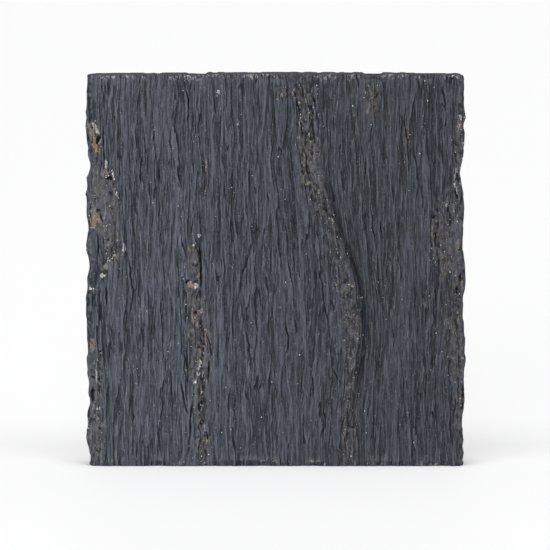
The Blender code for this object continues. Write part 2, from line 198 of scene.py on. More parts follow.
# The broken margins of a face: height, width from the side, drop at the ledge, fall to the side.
LEFT_MARGIN = (
    (0.300, 0.0115, 0.0008, 0.0008),
    (0.240, 0.0120, 0.0012, 0.0020),
    (0.226, 0.0170, 0.0022, 0.0026),
    (0.205, 0.0225, 0.0028, 0.0022),
    (0.165, 0.0260, 0.0024, 0.0020),
    (0.150, 0.0140, 0.0020, 0.0026),
    (0.130, 0.0070, 0.0006, 0.0020),
    (0.090, 0.0070, 0.0010, 0.0026),
    (0.050, 0.0090, 0.0014, 0.0030),
    (0.034, 0.0140, 0.0020, 0.0026),
    (0.000, 0.0120, 0.0014, 0.0018),
)
RIGHT_MARGIN = (
    (0.300, 0.0060, 0.0006, 0.0008),
    (0.218, 0.0090, 0.0008, 0.0022),
    (0.205, 0.0190, 0.0012, 0.0030),
    (0.170, 0.0230, 0.0018, 0.0034),
    (0.142, 0.0170, 0.0012, 0.0028),
    (0.100, 0.0110, 0.0010, 0.0024),
    (0.052, 0.0090, 0.0014, 0.0026),
    (0.000, 0.0070, 0.0008, 0.0014),
)
BACK_LEFT_MARGIN = (
    (0.300, 0.0180, 0.0014, 0.0020),
    (0.190, 0.0100, 0.0008, 0.0026),
    (0.110, 0.0260, 0.0026, 0.0022),
    (0.000, 0.0120, 0.0010, 0.0020),
)
BACK_RIGHT_MARGIN = (
    (0.300, 0.0080, 0.0008, 0.0016),
    (0.225, 0.0280, 0.0024, 0.0026),
    (0.140, 0.0120, 0.0010, 0.0022),
    (0.060, 0.0200, 0.0020, 0.0030),
    (0.000, 0.0140, 0.0012, 0.0018),
)
MARGIN_EDGE = 0.0035

# The raised blade of rock low on the left margin.
BLADE = ((0.092, -0.1345), (0.052, -0.1305))
BLADE_HALF_WIDTH = 0.0075
BLADE_RISE = 0.0022

# Grooves: a route of heights and places across, half width, depth.
FRONT_GROOVES = (
    (((0.170, -0.1136), (0.146, -0.1098), (0.127, -0.1086), (0.096, -0.1150)), 0.0045, 0.0016),
    (((0.246, -0.1045), (0.229, -0.1020), (0.204, -0.1050)), 0.0045, 0.0014),
    (((0.178, -0.0220), (0.149, -0.0245), (0.127, -0.0275), (0.106, -0.0290)), 0.0045, 0.0016),
    (((0.262, 0.0815), (0.230, 0.0815), (0.196, 0.0835)), 0.0075, 0.0022),
    (((0.116, 0.0075), (0.084, 0.0105)), 0.0045, 0.0014),
    (((0.064, 0.0195), (0.028, 0.0200)), 0.0045, 0.0014),
    (((0.296, -0.0170), (0.262, -0.0150)), 0.0060, 0.0012),
    (((0.070, 0.1000), (0.004, 0.1080)), 0.0080, 0.0014),
)
BACK_GROOVES = (
    (((0.262, -0.0600), (0.215, -0.0640), (0.160, -0.0600)), 0.0070, 0.0020),
    (((0.150, 0.0300), (0.095, 0.0340), (0.040, 0.0300)), 0.0075, 0.0022),
    (((0.285, 0.0900), (0.235, 0.0860)), 0.0060, 0.0016),
    (((0.110, -0.0950), (0.060, -0.0900)), 0.0060, 0.0016),
)

# The long ledge that crosses the back, and the drop below it.
BACK_LEDGE = ((0.300, 0.0420), (0.200, 0.0200), (0.110, -0.0260), (0.000, -0.0400))
BACK_LEDGE_DROP = 0.0026

# Scars along the arrises of the base and the top: place, reach, how far up or down, depth.
BASE_SCARS = (
    (-0.0190, 0.0380, 0.0062, 0.0015),
    (0.0300, 0.0120, 0.0040, 0.0012),
    (0.0840, 0.0260, 0.0050, 0.0012),
    (-0.0880, 0.0120, 0.0060, 0.0016),
    (0.1220, 0.0140, 0.0045, 0.0012),
)
TOP_SCARS = (
    (-0.0590, 0.0080, 0.0040, 0.0016),
    (-0.0050, 0.0220, 0.0050, 0.0012),
    (0.0730, 0.0120, 0.0050, 0.0018),
    (0.1120, 0.0200, 0.0040, 0.0012),
    (-0.1180, 0.0260, 0.0036, 0.0010),
)

# The share of its height over which a scar keeps its depth.
SCAR_KEEP = 0.4

# Swells, plates and ridges of the riven faces: size across, size along the grain, height, seed.
WANDER = (0.030, 0.100, 0.0016, 11)
FRONT_SWELLS = ((0.046, 0.260, 0.0014, 21), (0.017, 0.120, 0.0008, 22))
FRONT_PLATES = ((0.0150, 0.130, 0.0015, 24), (0.0070, 0.075, 0.0009, 27))
FRONT_RIDGES = ((0.0095, 0.090, 0.0012, 23), (0.0050, 0.055, 0.0007, 25))
BACK_SWELLS = ((0.052, 0.240, 0.0020, 31), (0.019, 0.130, 0.0012, 32))
BACK_PLATES = ((0.0190, 0.140, 0.0018, 34), (0.0080, 0.080, 0.0010, 36))
BACK_RIDGES = ((0.0110, 0.090, 0.0013, 33), (0.0055, 0.055, 0.0007, 35))

# The leaves of a plated field: how much of their height is level and how much is tilt, the width
# of the step between them, and where in its cell each may lie.
LEAF_LEVEL = 0.6
LEAF_TILT = 0.8
LEAF_STEP = 0.0007
JITTER = (0.1, 0.9)

# Cells after which the noise repeats, what brings it to between about -1 and 1, and how far
# apart it is read for the two arrises of a side.
NOISE_CELLS = 64
NOISE_GAIN = 1.5
ARRIS_SPREAD = 3.5

# Fine grain that only the finished stone shows: size across, size along, height, seed.
FINE_CELLS = 256
FINE_STEP = 0.00012
FINE_PLATES = ((0.0036, 0.040, 0.00060, 61), (0.0019, 0.021, 0.00036, 62))
FIBRES = ((0.0022, 0.026, 0.00034, 63), (0.0013, 0.013, 0.00022, 64))
FINE_WANDER = (0.0060, 0.026, 0.0008, 65)
BROKEN_CELLS = ((0.0046, 0.0075, 0.0014, 67), (0.0020, 0.0030, 0.0009, 68))
TOP_CELLS = ((0.0110, 0.0060, 0.00035, 91), (0.0035, 0.0024, 0.00018, 92))

# Slivers that stand proud and slits that gape: the cell that each has to itself across and along,
# half width, half length, height, share of cells that have one, seed.
SLIVERS = (
    (0.0050, 0.026, 0.0010, 0.013, 0.00060, 0.60, 72),
    (0.0026, 0.013, 0.0006, 0.007, 0.00045, 0.60, 73),
)
SLITS = (
    (0.0120, 0.040, 0.0005, 0.014, -0.00090, 0.40, 74),
    (0.0044, 0.017, 0.0004, 0.009, -0.00060, 0.45, 75),
)

# How far lenses lean from the grain, how small the least of them is, and how steep they are.
LENS_LEAN = 0.045
LEAST_LENS = 0.45
LENS_SLOPE = 1.5

# A length too short to show, which keeps a width from being 0.
TINY = 1e-9

# How far the finest grain follows the seam: share of its slant, reach to its left and its right.
FIBRE_DRAG = 0.40
FIBRE_REACH = (0.075, 0.018)

# How far the worn top falls below its highest line: place across, drop.
TOP_DROP = (
    (-0.1442, 0.0009),
    (-0.0900, 0.0006),
    (-0.0690, 0.0004),
    (-0.0670, 0.0011),
    (-0.0540, 0.0011),
    (-0.0520, 0.0001),
    (0.0660, 0.0000),
    (0.0680, 0.0012),
    (0.0800, 0.0012),
    (0.0820, 0.0001),
    (0.1050, 0.0002),
    (0.1075, 0.0009),
    (0.1442, 0.0009),
)

# Chips along the top arris: size across, how many through half the stone, depth, seed; and the
# band below the top that moves down with them.
TOP_CHIPPING = (0.0060, 1.5, 0.0010, 93)
TOP_BAND = 0.010

# The rings that close the top, as shares of the way in; the facets there start this far down.
TOP_STEPS = (0.03, 0.08, 0.16, 0.26, 0.38, 0.52, 0.68, 0.84, 0.95)
TOP_LEVEL = 0.0004

# Flakes on the sides: thick, tall, how far they stand back, seed.
SIDE_FLAKES = (0.0030, 0.0140, 0.0009, 42)

# Places on the front, as middle across, height, half width, half height, lean.
# Lean is how far the place shifts across for each metre up.
SMOOTH_SCARS = (
    (-0.1342, 0.2025, 0.0110, 0.0310, 0.00),
    (-0.1388, 0.2915, 0.0075, 0.0110, 0.00),
    (-0.1419, 0.1610, 0.0050, 0.0180, 0.00),
    (-0.0629, 0.1549, 0.0048, 0.0100, 0.00),
    (-0.0606, 0.1227, 0.0055, 0.0110, 0.00),
    (-0.1404, 0.0240, 0.0080, 0.0210, 0.00),
    (-0.1410, 0.0700, 0.0050, 0.0160, 0.00),
    (0.1380, 0.1700, 0.0090, 0.0240, 0.00),
)
BROWN_PATCHES = (
    (-0.1320, 0.2030, 0.0130, 0.0300, 0.00),
    (-0.1250, 0.1700, 0.0090, 0.0200, 0.00),
    (-0.1380, 0.0250, 0.0085, 0.0230, 0.00),
    (-0.1380, 0.0620, 0.0060, 0.0200, 0.00),
    (-0.1385, 0.2450, 0.0070, 0.0240, 0.00),
    (-0.0635, 0.1580, 0.0075, 0.0130, 0.00),
    (-0.0600, 0.1250, 0.0090, 0.0130, 0.00),
    (-0.0585, 0.1000, 0.0105, 0.0150, 0.00),
    (-0.0575, 0.0740, 0.0110, 0.0160, 0.00),
    (-0.0575, 0.0450, 0.0085, 0.0180, 0.00),
    (-0.0560, 0.0180, 0.0065, 0.0190, 0.00),
    (0.1300, 0.1760, 0.0150, 0.0380, 0.00),
    (0.1370, 0.1050, 0.0090, 0.0500, 0.00),
    (0.1400, 0.0450, 0.0040, 0.0250, 0.00),
    (0.1390, 0.2400, 0.0040, 0.0320, 0.00),
    (0.0190, 0.2850, 0.0085, 0.0130, -0.05),
    (0.0230, 0.2450, 0.0095, 0.0270, -0.10),
    (0.0300, 0.2080, 0.0085, 0.0210, -0.45),
    (0.0553, 0.0300, 0.0060, 0.0350, 0.00),
    (0.0725, 0.2830, 0.0070, 0.0160, 0.00),
    (0.0990, 0.2524, 0.0030, 0.0090, 0.00),
    (0.0050, 0.2880, 0.0080, 0.0070, 0.00),
)
TAN_PATCHES = (
    (-0.1400, 0.2523, 0.0026, 0.0150, -0.33),
    (-0.1290, 0.2262, 0.0030, 0.0018, 0.00),
    (-0.1396, 0.1902, 0.0034, 0.0080, -0.05),
    (-0.1350, 0.1895, 0.0011, 0.0055, -0.40),
    (-0.1297, 0.1532, 0.0016, 0.0026, 0.00),
    (-0.1404, 0.1350, 0.0022, 0.0010, 0.00),
    (-0.1406, 0.0931, 0.0026, 0.0062, 0.00),
    (-0.1388, 0.0793, 0.0011, 0.0017, 0.00),
    (-0.1400, 0.0453, 0.0013, 0.0028, 0.00),
    (-0.1436, 0.0276, 0.0008, 0.0015, 0.00),
    (-0.0650, 0.1391, 0.0038, 0.0025, -0.30),
    (-0.0590, 0.1420, 0.0010, 0.0080, -0.05),
    (-0.0640, 0.1160, 0.0009, 0.0034, 0.00),
    (-0.0629, 0.1120, 0.0012, 0.0028, 0.00),
    (-0.0595, 0.1078, 0.0012, 0.0020, 0.00),
    (-0.0571, 0.1185, 0.0012, 0.0016, 0.00),
    (-0.0537, 0.1012, 0.0011, 0.0070, 0.00),
    (-0.0683, 0.0736, 0.0006, 0.0008, 0.00),
    (-0.0593, 0.0337, 0.0009, 0.0028, 0.00),
    (-0.0529, 0.0192, 0.0008, 0.0030, 0.00),
    (0.1409, 0.2608, 0.0010, 0.0042, 0.00),
    (-0.0532, 0.2300, 0.0005, 0.0075, 0.00),
    (-0.0536, 0.2120, 0.0005, 0.0050, 0.00),
    (-0.0570, 0.0350, 0.0008, 0.0020, 0.00),
    (-0.0545, 0.0900, 0.0006, 0.0030, 0.10),
    (0.1420, 0.2425, 0.0009, 0.0026, 0.00),
    (0.1388, 0.1687, 0.0016, 0.0050, 0.00),
    (0.1419, 0.1411, 0.0007, 0.0080, 0.00),
    (0.1392, 0.1150, 0.0008, 0.0085, 0.00),
    (0.1427, 0.0897, 0.0013, 0.0030, 0.00),
    (0.1430, 0.0767, 0.0006, 0.0095, 0.00),
    (0.1411, 0.0522, 0.0006, 0.0105, 0.00),
    (0.1166, 0.0014, 0.0092, 0.0008, 0.00),
    (0.0397, 0.1989, 0.0009, 0.0009, 0.00),
    (0.0430, 0.1887, 0.0010, 0.0022, -0.20),
    (0.0499, 0.1726, 0.0010, 0.0008, 0.00),
    (0.0460, 0.1375, 0.0007, 0.0030, -0.20),
    (0.0596, 0.1388, 0.0008, 0.0028, 0.00),
    (0.0245, 0.2163, 0.0026, 0.0010, 0.00),
    (0.0322, 0.2113, 0.0010, 0.0016, 0.00),
    (0.0710, 0.2850, 0.0026, 0.0009, 0.00),
    (0.0170, 0.2780, 0.0005, 0.0060, 0.20),
    (0.0245, 0.2700, 0.0005, 0.0055, -0.15),
    (0.0040, 0.2830, 0.0006, 0.0020, 0.00),
    (0.0698, 0.2730, 0.0006, 0.0040, 0.00),
)
WHITE_PATCHES = (
    (-0.1372, 0.2577, 0.0019, 0.0052, -0.45),
    (-0.1298, 0.2310, 0.0011, 0.0040, -0.15),
    (-0.1346, 0.2481, 0.0010, 0.0042, 0.53),
    (-0.1240, 0.2230, 0.0011, 0.0036, -0.20),
    (-0.1212, 0.2080, 0.0010, 0.0042, -0.35),
    (-0.1400, 0.1825, 0.0026, 0.0006, 0.00),
    (-0.1158, 0.1668, 0.0010, 0.0038, 0.00),
    (-0.1242, 0.1611, 0.0020, 0.0010, 0.00),
    (-0.1266, 0.1580, 0.0006, 0.0040, 1.10),
    (-0.1315, 0.1457, 0.0030, 0.0022, 0.00),
    (-0.1419, 0.1365, 0.0013, 0.0020, 0.00),
    (-0.1345, 0.0851, 0.0009, 0.0052, 0.45),
    (-0.1371, 0.0698, 0.0005, 0.0085, 0.00),
    (-0.1358, 0.0437, 0.0019, 0.0017, 0.00),
    (-0.1434, 0.0337, 0.0008, 0.0008, 0.00),
    (-0.1358, 0.0262, 0.0008, 0.0006, 0.00),
    (-0.0583, 0.1772, 0.0016, 0.0019, 0.00),
    (-0.0620, 0.1700, 0.0004, 0.0028, 1.10),
    (-0.0614, 0.1376, 0.0021, 0.0022, 0.30),
    (-0.0594, 0.0702, 0.0012, 0.0013, 0.00),
    (-0.0619, 0.0644, 0.0016, 0.0026, 0.00),
    (-0.0585, 0.0767, 0.0009, 0.0050, 0.25),
    (-0.0557, 0.0690, 0.0007, 0.0032, 0.00),
    (-0.0566, 0.0560, 0.0007, 0.0012, 0.00),
    (-0.0552, 0.0255, 0.0006, 0.0012, 0.00),
    (-0.0575, 0.0453, 0.0011, 0.0030, 0.00),
    (-0.0545, 0.0299, 0.0008, 0.0040, 0.00),
    (-0.0631, 0.0063, 0.0010, 0.0014, 0.00),
    (-0.0548, 0.0023, 0.0010, 0.0011, 0.00),
    (0.1407, 0.2665, 0.0014, 0.0018, 0.00),
    (0.1368, 0.2240, 0.0009, 0.0064, 0.25),
    (0.1379, 0.2103, 0.0008, 0.0092, -0.30),
    (0.1301, 0.2005, 0.0006, 0.0030, 0.30),
    (0.1345, 0.2988, 0.0040, 0.0009, 0.00),
    (0.0240, 0.2760, 0.0004, 0.0070, -0.25),
    (0.0290, 0.2690, 0.0004, 0.0055, 0.30),
    (0.0180, 0.2620, 0.0004, 0.0050, 0.15),
    (0.0255, 0.2530, 0.0004, 0.0045, -0.20),
    (0.0130, 0.2850, 0.0003, 0.0050, 0.25),
    (-0.0440, 0.2860, 0.0003, 0.0040, 0.20),
    (-0.0290, 0.2640, 0.0005, 0.0040, -0.15),
    (0.0372, 0.0020, 0.0010, 0.0011, 0.00),
)
PALE_EDGES = (
    (-0.1200, 0.2984, 0.0250, 0.0012, 0.00),
    (-0.0580, 0.2982, 0.0300, 0.0014, 0.00),
    (-0.0100, 0.2985, 0.0200, 0.0011, 0.00),
    (0.0440, 0.2982, 0.0260, 0.0014, 0.00),
    (0.0950, 0.2984, 0.0220, 0.0012, 0.00),
    (0.1340, 0.2984, 0.0120, 0.0014, 0.00),
    (-0.1300, 0.0034, 0.0090, 0.0009, 0.00),
    (-0.0775, 0.0020, 0.0125, 0.0009, 0.00),
    (-0.0110, 0.0038, 0.0120, 0.0008, 0.00),
    (0.0090, 0.0028, 0.0140, 0.0008, 0.00),
    (0.0290, 0.0036, 0.0060, 0.0009, 0.00),
    (0.0700, 0.0016, 0.0200, 0.0007, 0.00),
    (0.1080, 0.0018, 0.0220, 0.0007, 0.00),
)

GROUNDS = (
    ("brown", BROWN_PATCHES),
    ("tan", TAN_PATCHES),
    ("white", WHITE_PATCHES),
    ("pale", PALE_EDGES),
    ("scar", SMOOTH_SCARS),
)

# Where a patch starts to thin out and where it has ended, in half sizes from its middle.
PATCH_EDGE = (0.55, 1.20)

# How far tan and white crusts stand out.
CRUST_RISE = (0.0004, 0.0006)

# The broken outlines of the patches: size across, size up, shift, seed; and how much more they
# shift up than across.
EDGE_BREAK = (0.0021, 0.0026, 0.0011, 94)
EDGE_BREAK_UP = 1.6

# How the patches run round onto the sides: size through, size up, reach, seed, unevenness.
SIDE_REACH = (0.0050, 0.0065, 0.0085, 98, 0.9)

# Holes: a place on the front, as above, and its depth.
PITS = (
    (-0.1355, 0.2500, 0.0016, 0.0038, 0.20, 0.0024),
    (-0.1272, 0.2209, 0.0019, 0.0028, 0.00, 0.0028),
    (-0.1278, 0.2262, 0.0008, 0.0008, 0.00, 0.0016),
    (0.1386, 0.2209, 0.0013, 0.0050, -0.25, 0.0024),
    (0.1376, 0.2079, 0.0010, 0.0036, -0.30, 0.0020),
    (0.1197, 0.1911, 0.0014, 0.0014, 0.00, 0.0022),
    (-0.0680, 0.1413, 0.0018, 0.0008, 0.00, 0.0020),
    (-0.1342, 0.0864, 0.0010, 0.0024, 0.00, 0.0022),
    (-0.1404, 0.0552, 0.0013, 0.0055, 0.00, 0.0022),
    (-0.0579, 0.0468, 0.0013, 0.0042, 0.20, 0.0020),
    (-0.0570, 0.0337, 0.0010, 0.0032, 0.00, 0.0020),
    (0.1427, 0.0565, 0.0012, 0.0070, 0.08, 0.0026),
    (0.1424, 0.0450, 0.0010, 0.0060, -0.10, 0.0022),
    (0.1377, 0.1342, 0.0008, 0.0036, 0.00, 0.0018),
    (0.1408, 0.1446, 0.0009, 0.0032, 0.00, 0.0018),
)

# Cracks: a route of heights and places across, half width, depth.
CRACKS = (
    (((0.2720, -0.1322), (0.2462, -0.1315), (0.2200, -0.1308)), 0.0009, 0.0034),
    (((0.1990, -0.1352), (0.1904, -0.1335), (0.1815, -0.1300)), 0.0009, 0.0018),
    (((0.3030, -0.1332), (0.2830, -0.1322)), 0.0009, 0.0018),
    (((0.3030, -0.1279), (0.2810, -0.1265)), 0.0012, 0.0020),
    (((0.1860, -0.1361), (0.1657, -0.1358), (0.1520, -0.1320)), 0.0008, 0.0026),
    (((0.1780, -0.1316), (0.1620, -0.1319)), 0.0007, 0.0016),
    (((0.1700, -0.1138), (0.1473, -0.1107), (0.1342, -0.1094), (0.1030, -0.1134)), 0.0011, 0.0024),
    (((0.2600, -0.0925), (0.2520, -0.0930), (0.2420, -0.0938)), 0.0008, 0.0018),
    (((0.1440, -0.1300), (0.1300, -0.1292), (0.1180, -0.1288)), 0.0008, 0.0016),
    (((0.2460, -0.1035), (0.2324, -0.1028), (0.2188, -0.1035), (0.2050, -0.1064)), 0.0009, 0.0022),
    (((0.2330, -0.0894), (0.2170, -0.0886)), 0.0008, 0.0022),
    (((0.2390, -0.0779), (0.2250, -0.0775)), 0.0007, 0.0018),
    (((0.1740, -0.0593), (0.1611, -0.0580), (0.1542, -0.0573), (0.1310, -0.0565)), 0.0011, 0.0036),
    (((0.1040, -0.0530), (0.0900, -0.0500), (0.0790, -0.0488)), 0.0008, 0.0024),
    (((0.0900, -0.0508), (0.0590, -0.0518)), 0.0009, 0.0026),
    (((0.0560, -0.0640), (0.0276, -0.0658), (0.0030, -0.0676)), 0.0012, 0.0028),
    (((0.0930, -0.0684), (0.0570, -0.0670)), 0.0011, 0.0024),
    (((0.0300, -0.0530), (0.0130, -0.0520)), 0.0008, 0.0022),
    (((0.1830, 0.1216), (0.1610, 0.1216)), 0.0008, 0.0024),
    (((0.1700, 0.0270), (0.1346, 0.0356), (0.1040, 0.0402), (0.0850, 0.0420)), 0.0009, 0.0018),
    (((0.1000, 0.0405), (0.0772, 0.0425), (0.0619, 0.0494), (0.0505, 0.0565)), 0.0008, 0.0016),
    (((0.1170, 0.0070), (0.0950, 0.0090), (0.0800, 0.0080)), 0.0010, 0.0020),
    (
        ((0.1919, 0.0003), (0.1766, -0.0133), (0.1667, -0.0203), (0.1409, -0.0268), (0.1185, -0.0301)),
        0.0012,
        0.0014,
    ),
    (((0.2560, 0.0812), (0.2400, 0.0820), (0.2240, 0.0832)), 0.0024, 0.0010),
    (((0.2720, 0.0945), (0.2560, 0.0990), (0.2430, 0.1010)), 0.0009, 0.0020),
    (((0.1100, -0.0240), (0.0900, -0.0205), (0.0770, -0.0190)), 0.0009, 0.0018),
    (((0.2010, 0.1310), (0.1880, 0.1325), (0.1760, 0.1330)), 0.0010, 0.0020),
    (((0.1700, 0.0850), (0.1540, 0.0850), (0.1400, 0.0846)), 0.0008, 0.0018),
    (((0.2930, 0.0110), (0.2790, 0.0160), (0.2650, 0.0200)), 0.0010, 0.0022),
    (((0.2960, 0.0175), (0.2860, 0.0205), (0.2770, 0.0212)), 0.0008, 0.0022),
    (((0.2700, 0.0160), (0.2600, 0.0195), (0.2500, 0.0200)), 0.0008, 0.0020),
    (((0.2660, 0.0270), (0.2560, 0.0285), (0.2460, 0.0290)), 0.0008, 0.0020),
    (((0.2880, 0.0265), (0.2740, 0.0300), (0.2600, 0.0330)), 0.0009, 0.0022),
    (((0.2500, 0.0205), (0.2300, 0.0235), (0.2120, 0.0262)), 0.0009, 0.0020),
    (((0.0700, -0.0735), (0.0500, -0.0700), (0.0320, -0.0655)), 0.0010, 0.0018),
    (((0.2600, -0.1010), (0.2400, -0.0995), (0.2200, -0.1000)), 0.0008, 0.0016),
    (((0.2980, -0.0700), (0.2750, -0.0665), (0.2550, -0.0680)), 0.0008, 0.0018),
    (((0.0740, 0.0270), (0.0620, 0.0283), (0.0480, 0.0290)), 0.0010, 0.0022),
    (((0.0520, 0.0552), (0.0320, 0.0545), (0.0120, 0.0545)), 0.0008, 0.0018),
    (((0.2010, 0.0723), (0.1848, 0.0736), (0.1680, 0.0759)), 0.0008, 0.0020),
    (((0.1890, 0.0794), (0.1770, 0.0802)), 0.0009, 0.0018),
    (((0.0890, 0.1193), (0.0720, 0.1194)), 0.0008, 0.0018),
    (((0.0440, 0.1197), (0.0360, 0.1198)), 0.0008, 0.0018),
    (((0.3030, 0.0612), (0.2870, 0.0630)), 0.0008, 0.0020),
    (((0.2980, 0.0717), (0.2860, 0.0713)), 0.0008, 0.0018),
    (((0.2960, 0.1266), (0.2690, 0.1291)), 0.0013, 0.0020),
)

# How a crack wavers: size across, size up, shift, seed. How its depth varies: the same, with the
# share of its depth in place of the shift; and the share that it has in the mean.
CRACK_WAVER = (0.020, 0.0050, 0.0006, 96)
CRACK_CHANGE = (0.020, 0.0080, 0.6, 97)
CRACK_MEAN = 0.75

# How deep a crack or a hole is where its painted shade starts, and where the shade is painted black.
OPEN_DEPTH = (0.0002, 0.0014)

# How rough the stone is where it is brown and on the seam, and how much of the fine grain is lost
# on smooth scars, on brown rock, on the seam and at the sides.
ROUGHNESS = (0.7, 0.6)
GRAIN_LOSS = (0.85, 0.4, 0.4, 0.6)

# How rough the back is beside the front, and how far off its fine grain is read from the same noise.
BACK_ROUGHNESS = 0.3
BACK_SHIFT = 0.5

# Hollows, for the painted shade in them: how often the relief is blurred to find them, and their
# depth.
HOLLOWS = (6, 0.0004)
BROAD_HOLLOWS = (40, 0.0012)

# How far below the top the worn band starts and is whole, and the places across between which the
# stone turns warmer and is painted darker, as shade towards the right.
WORN_BAND = (0.0065, 0.0015)
WARM_AND_SHADED_BAND = (-0.08, 0.08)

# The mineral crumbs: how many there are on bare slate, on rough rock and on crust in each square
# centimetre, the share of that on the back, how much tan or white counts as crust, the least and
# the greatest radius, the seed, and how deep they sit, as a share of the radius.
CRUMBS_A_CENTIMETRE = (0.22, 3.0, 14.0)
SQUARE_CENTIMETRE = 0.0001
CRUMBS_AT_BACK = 0.4
CRUST_FROM = 0.3
CRUMB_SIZES = (0.00030, 0.00068)
CRUMB_SEED = 71
CRUMB_SUNK = 0.20

# A crumb's size on bare stone and what crust adds to it, its stretch across, through and up, how
# that and its corners differ from crumb to crumb, and how far it is turned.
CRUMB_GROWTH = (0.8, 0.5)
CRUMB_STRETCH = (0.9, 0.8, 1.3)
CRUMB_SPREAD = (0.7, 1.3)
CORNER_SPREAD = (0.75, 1.25)
CRUMB_TURN = 0.6

# A crumb's corners, as shares of its radius, and its faces.
CRUMB_CORNERS = ((1, 0, 0), (0, 0, 1), (-1, 0, 0), (0, 0, -1), (0, -1, 0), (0, 1, 0))
CRUMB_FACES = (
    (0, 1, 4), (1, 2, 4), (2, 3, 4), (3, 0, 4),
    (1, 0, 5), (2, 1, 5), (3, 2, 5), (0, 3, 5),
)

# How much more tan than white each kind of ground makes a crumb, and how much crumbs differ.
CRUMB_TAN = (("brown", 0.45), ("seam", 0.6), ("white", -0.8))
CRUMB_TAN_CHANGE = 0.35

# Noise that colours the stone: cells in a metre across, through and up, detail, roughness. The
# strands are plain cells.
FIBRE = ((1000.0, 300.0, 78.0), 4.0, 0.70)
CLOUD = ((30.0, 20.0, 10.0), 4.0, 0.60)
SPECK = ((1100.0, 900.0, 800.0), 1.0, 0.50)
BLOTCH = ((620.0, 520.0, 340.0), 4.0, 0.68)
DUST = ((1150.0, 900.0, 750.0), 1.0, 0.50)
BREAKS = ((70.0, 50.0, 28.0), 3.0, 0.60)
VEIN = ((240.0, 200.0, 130.0), 3.0, 0.60)
CRUMB_GRAIN = ((700.0, 700.0, 500.0), 2.0, 0.60)
STRANDS = (560.0, 220.0, 60.0)

# Long and short overlapping leaves of slate: cells in a metre, the width of their painted highlight
# rims and painted shadow lines, detail.
LEAVES = ((95.0, 60.0, 8.0), 0.0007, 3.0)
BLADES = ((230.0, 150.0, 19.0), 0.0005, 2.0)

# The noise of the leaves: its roughness, the levels between which one leaf ends and the next starts,
# those between which it rises, how far a painted highlight rim leans, and how light the painted
# highlight on its lower lip is.
LEAF_ROUGHNESS = 0.62
LEAF_LINE = (0.495, 0.505)
LEAF_RISE = (0.47, 0.53)
RIM_LEAN = 0.7
LIP_HIGHLIGHT = 0.8

# Bends in the coloured grain: cells in a metre, and how far it moves across.
SLOW_BEND = ((55.0, 55.0, 13.0), (0.0090, 0.0, 0.0))
QUICK_BEND = ((170.0, 90.0, 34.0), (0.0040, 0.0, 0.0))

# How light bare slate is in the mean; how much the leaves, blades, strands and fibres change that, and
# the clouds, blotches and dust; and how much darker the warm band is painted, as shade towards the
# right.
MEAN_TONE = 0.47
GRAIN_TONE = (0.16, 0.14, 0.26, 1.45)
SPOT_TONE = (0.30, 0.45, 0.55)
RIGHT_SHADE_TONE = 0.07

# How far each layer of colour covers the ones before it, where it lies. The highlights on the leaves'
# rims and the shade beside the leaves, in hollows, holes and cracks, down the seam's flank and towards
# the right are painted.
COVER = {
    "painted_highlights": 0.62,
    "proud fibres": 0.55,
    "warm rock": 0.08,
    "brown rock": 0.40,
    "seam rock": 0.18,
    "scars": 0.40,
    "ochre": 0.45,
    "veins": 0.75,
    "holes in brown rock": 0.24,
    "holes in the seam": 0.66,
    "chalk": 0.45,
    "worn top": 0.40,
    "dirty top": 0.34,
    "tan crust": 0.90,
    "white crust": 0.80,
    "pale chips": 0.85,
    "quartz": 0.55,
    "hollows": 0.95,
    "broad hollows": 0.38,
    "brown dirt": 0.07,
    "seam dirt": 0.10,
    "warm dirt": 0.22,
    "cracks": 0.90,
}

# How much of the bare grain smooth scars and the seam hide, and how much fainter than those of long
# leaves the painted highlights on the rims and the painted shadows beside the edges of short ones are.
SCAR_HIDES = 0.50
SEAM_HIDES = 0.25
SHORT_HIGHLIGHT = 0.8
SHORT_SHADOW = 0.70

# The finest relief, which is only a bump: its depth, and the weights in it of fibres, leaves, blades
# and strands, and of blotches, dust and the lines of painted shadow.
BUMP_DEPTH = 0.0007
GRAIN_BUMP = (1.0, 0.5, 0.5, 0.3)
SPOT_BUMP = (0.4, 0.5, -0.6)

# How rough each surface is: the least, and how much its noise adds. How strongly it shines.
SLATE_ROUGHNESS = (0.55, 0.25)
CRUMB_ROUGHNESS = (0.40, 0.3)
FLOOR_ROUGHNESS = 0.50
SLATE_SHINE = 0.22
FLOOR_SHINE = 0.15

# The lights: name, degrees turned to the right, degrees up, strength, degrees of softness. Then
# how far off they stand, the strength of the white surround, the floor, and the camera's reach.
LIGHTS = (
    ("key", -28.0, 52.0, 0.64, 28.0),
    ("fill", 28.0, 54.0, 0.50, 28.0),
    ("front", -6.0, 14.0, 0.92, 24.0),
    ("top", 0.0, 88.0, 1.56, 12.0),
)
LIGHT_DISTANCE = 2.0
SURROUND = 0.37
FLOOR_SIZE = 160.0
VIEW_DEPTH = 500.0

# Edges of the stone that bend more than this, in degrees, stay sharp.
SHARP_ANGLE = 60.0


def smooth(start, end, value):
    """0 before start, 1 after end, with a soft step between."""
    t = np.clip((value - start) / (end - start), 0.0, 1.0)
    return t * t * (3.0 - 2.0 * t)


def bell(distance, reach):
    """1 in the middle, falling softly to 0 at reach on either side."""
    t = np.clip(np.abs(distance) / reach, 0.0, 1.0)
    return (1.0 - t * t) ** 2


def weigh(weights, fields):
    """The sum of some fields, each by its weight."""
    return sum(weight * field for weight, field in zip(weights, fields))


def along(points, height, column=1):
    """One column of a list of points at the given heights, joined by soft steps."""
    rows = sorted(points)
    heights = np.array([row[0] for row in rows])
    values = np.array([row[column] for row in rows])
    upper = np.clip(np.searchsorted(heights, height), 1, len(rows) - 1)
    step = smooth(heights[upper - 1], heights[upper], height)
    return values[upper - 1] * (1.0 - step) + values[upper] * step


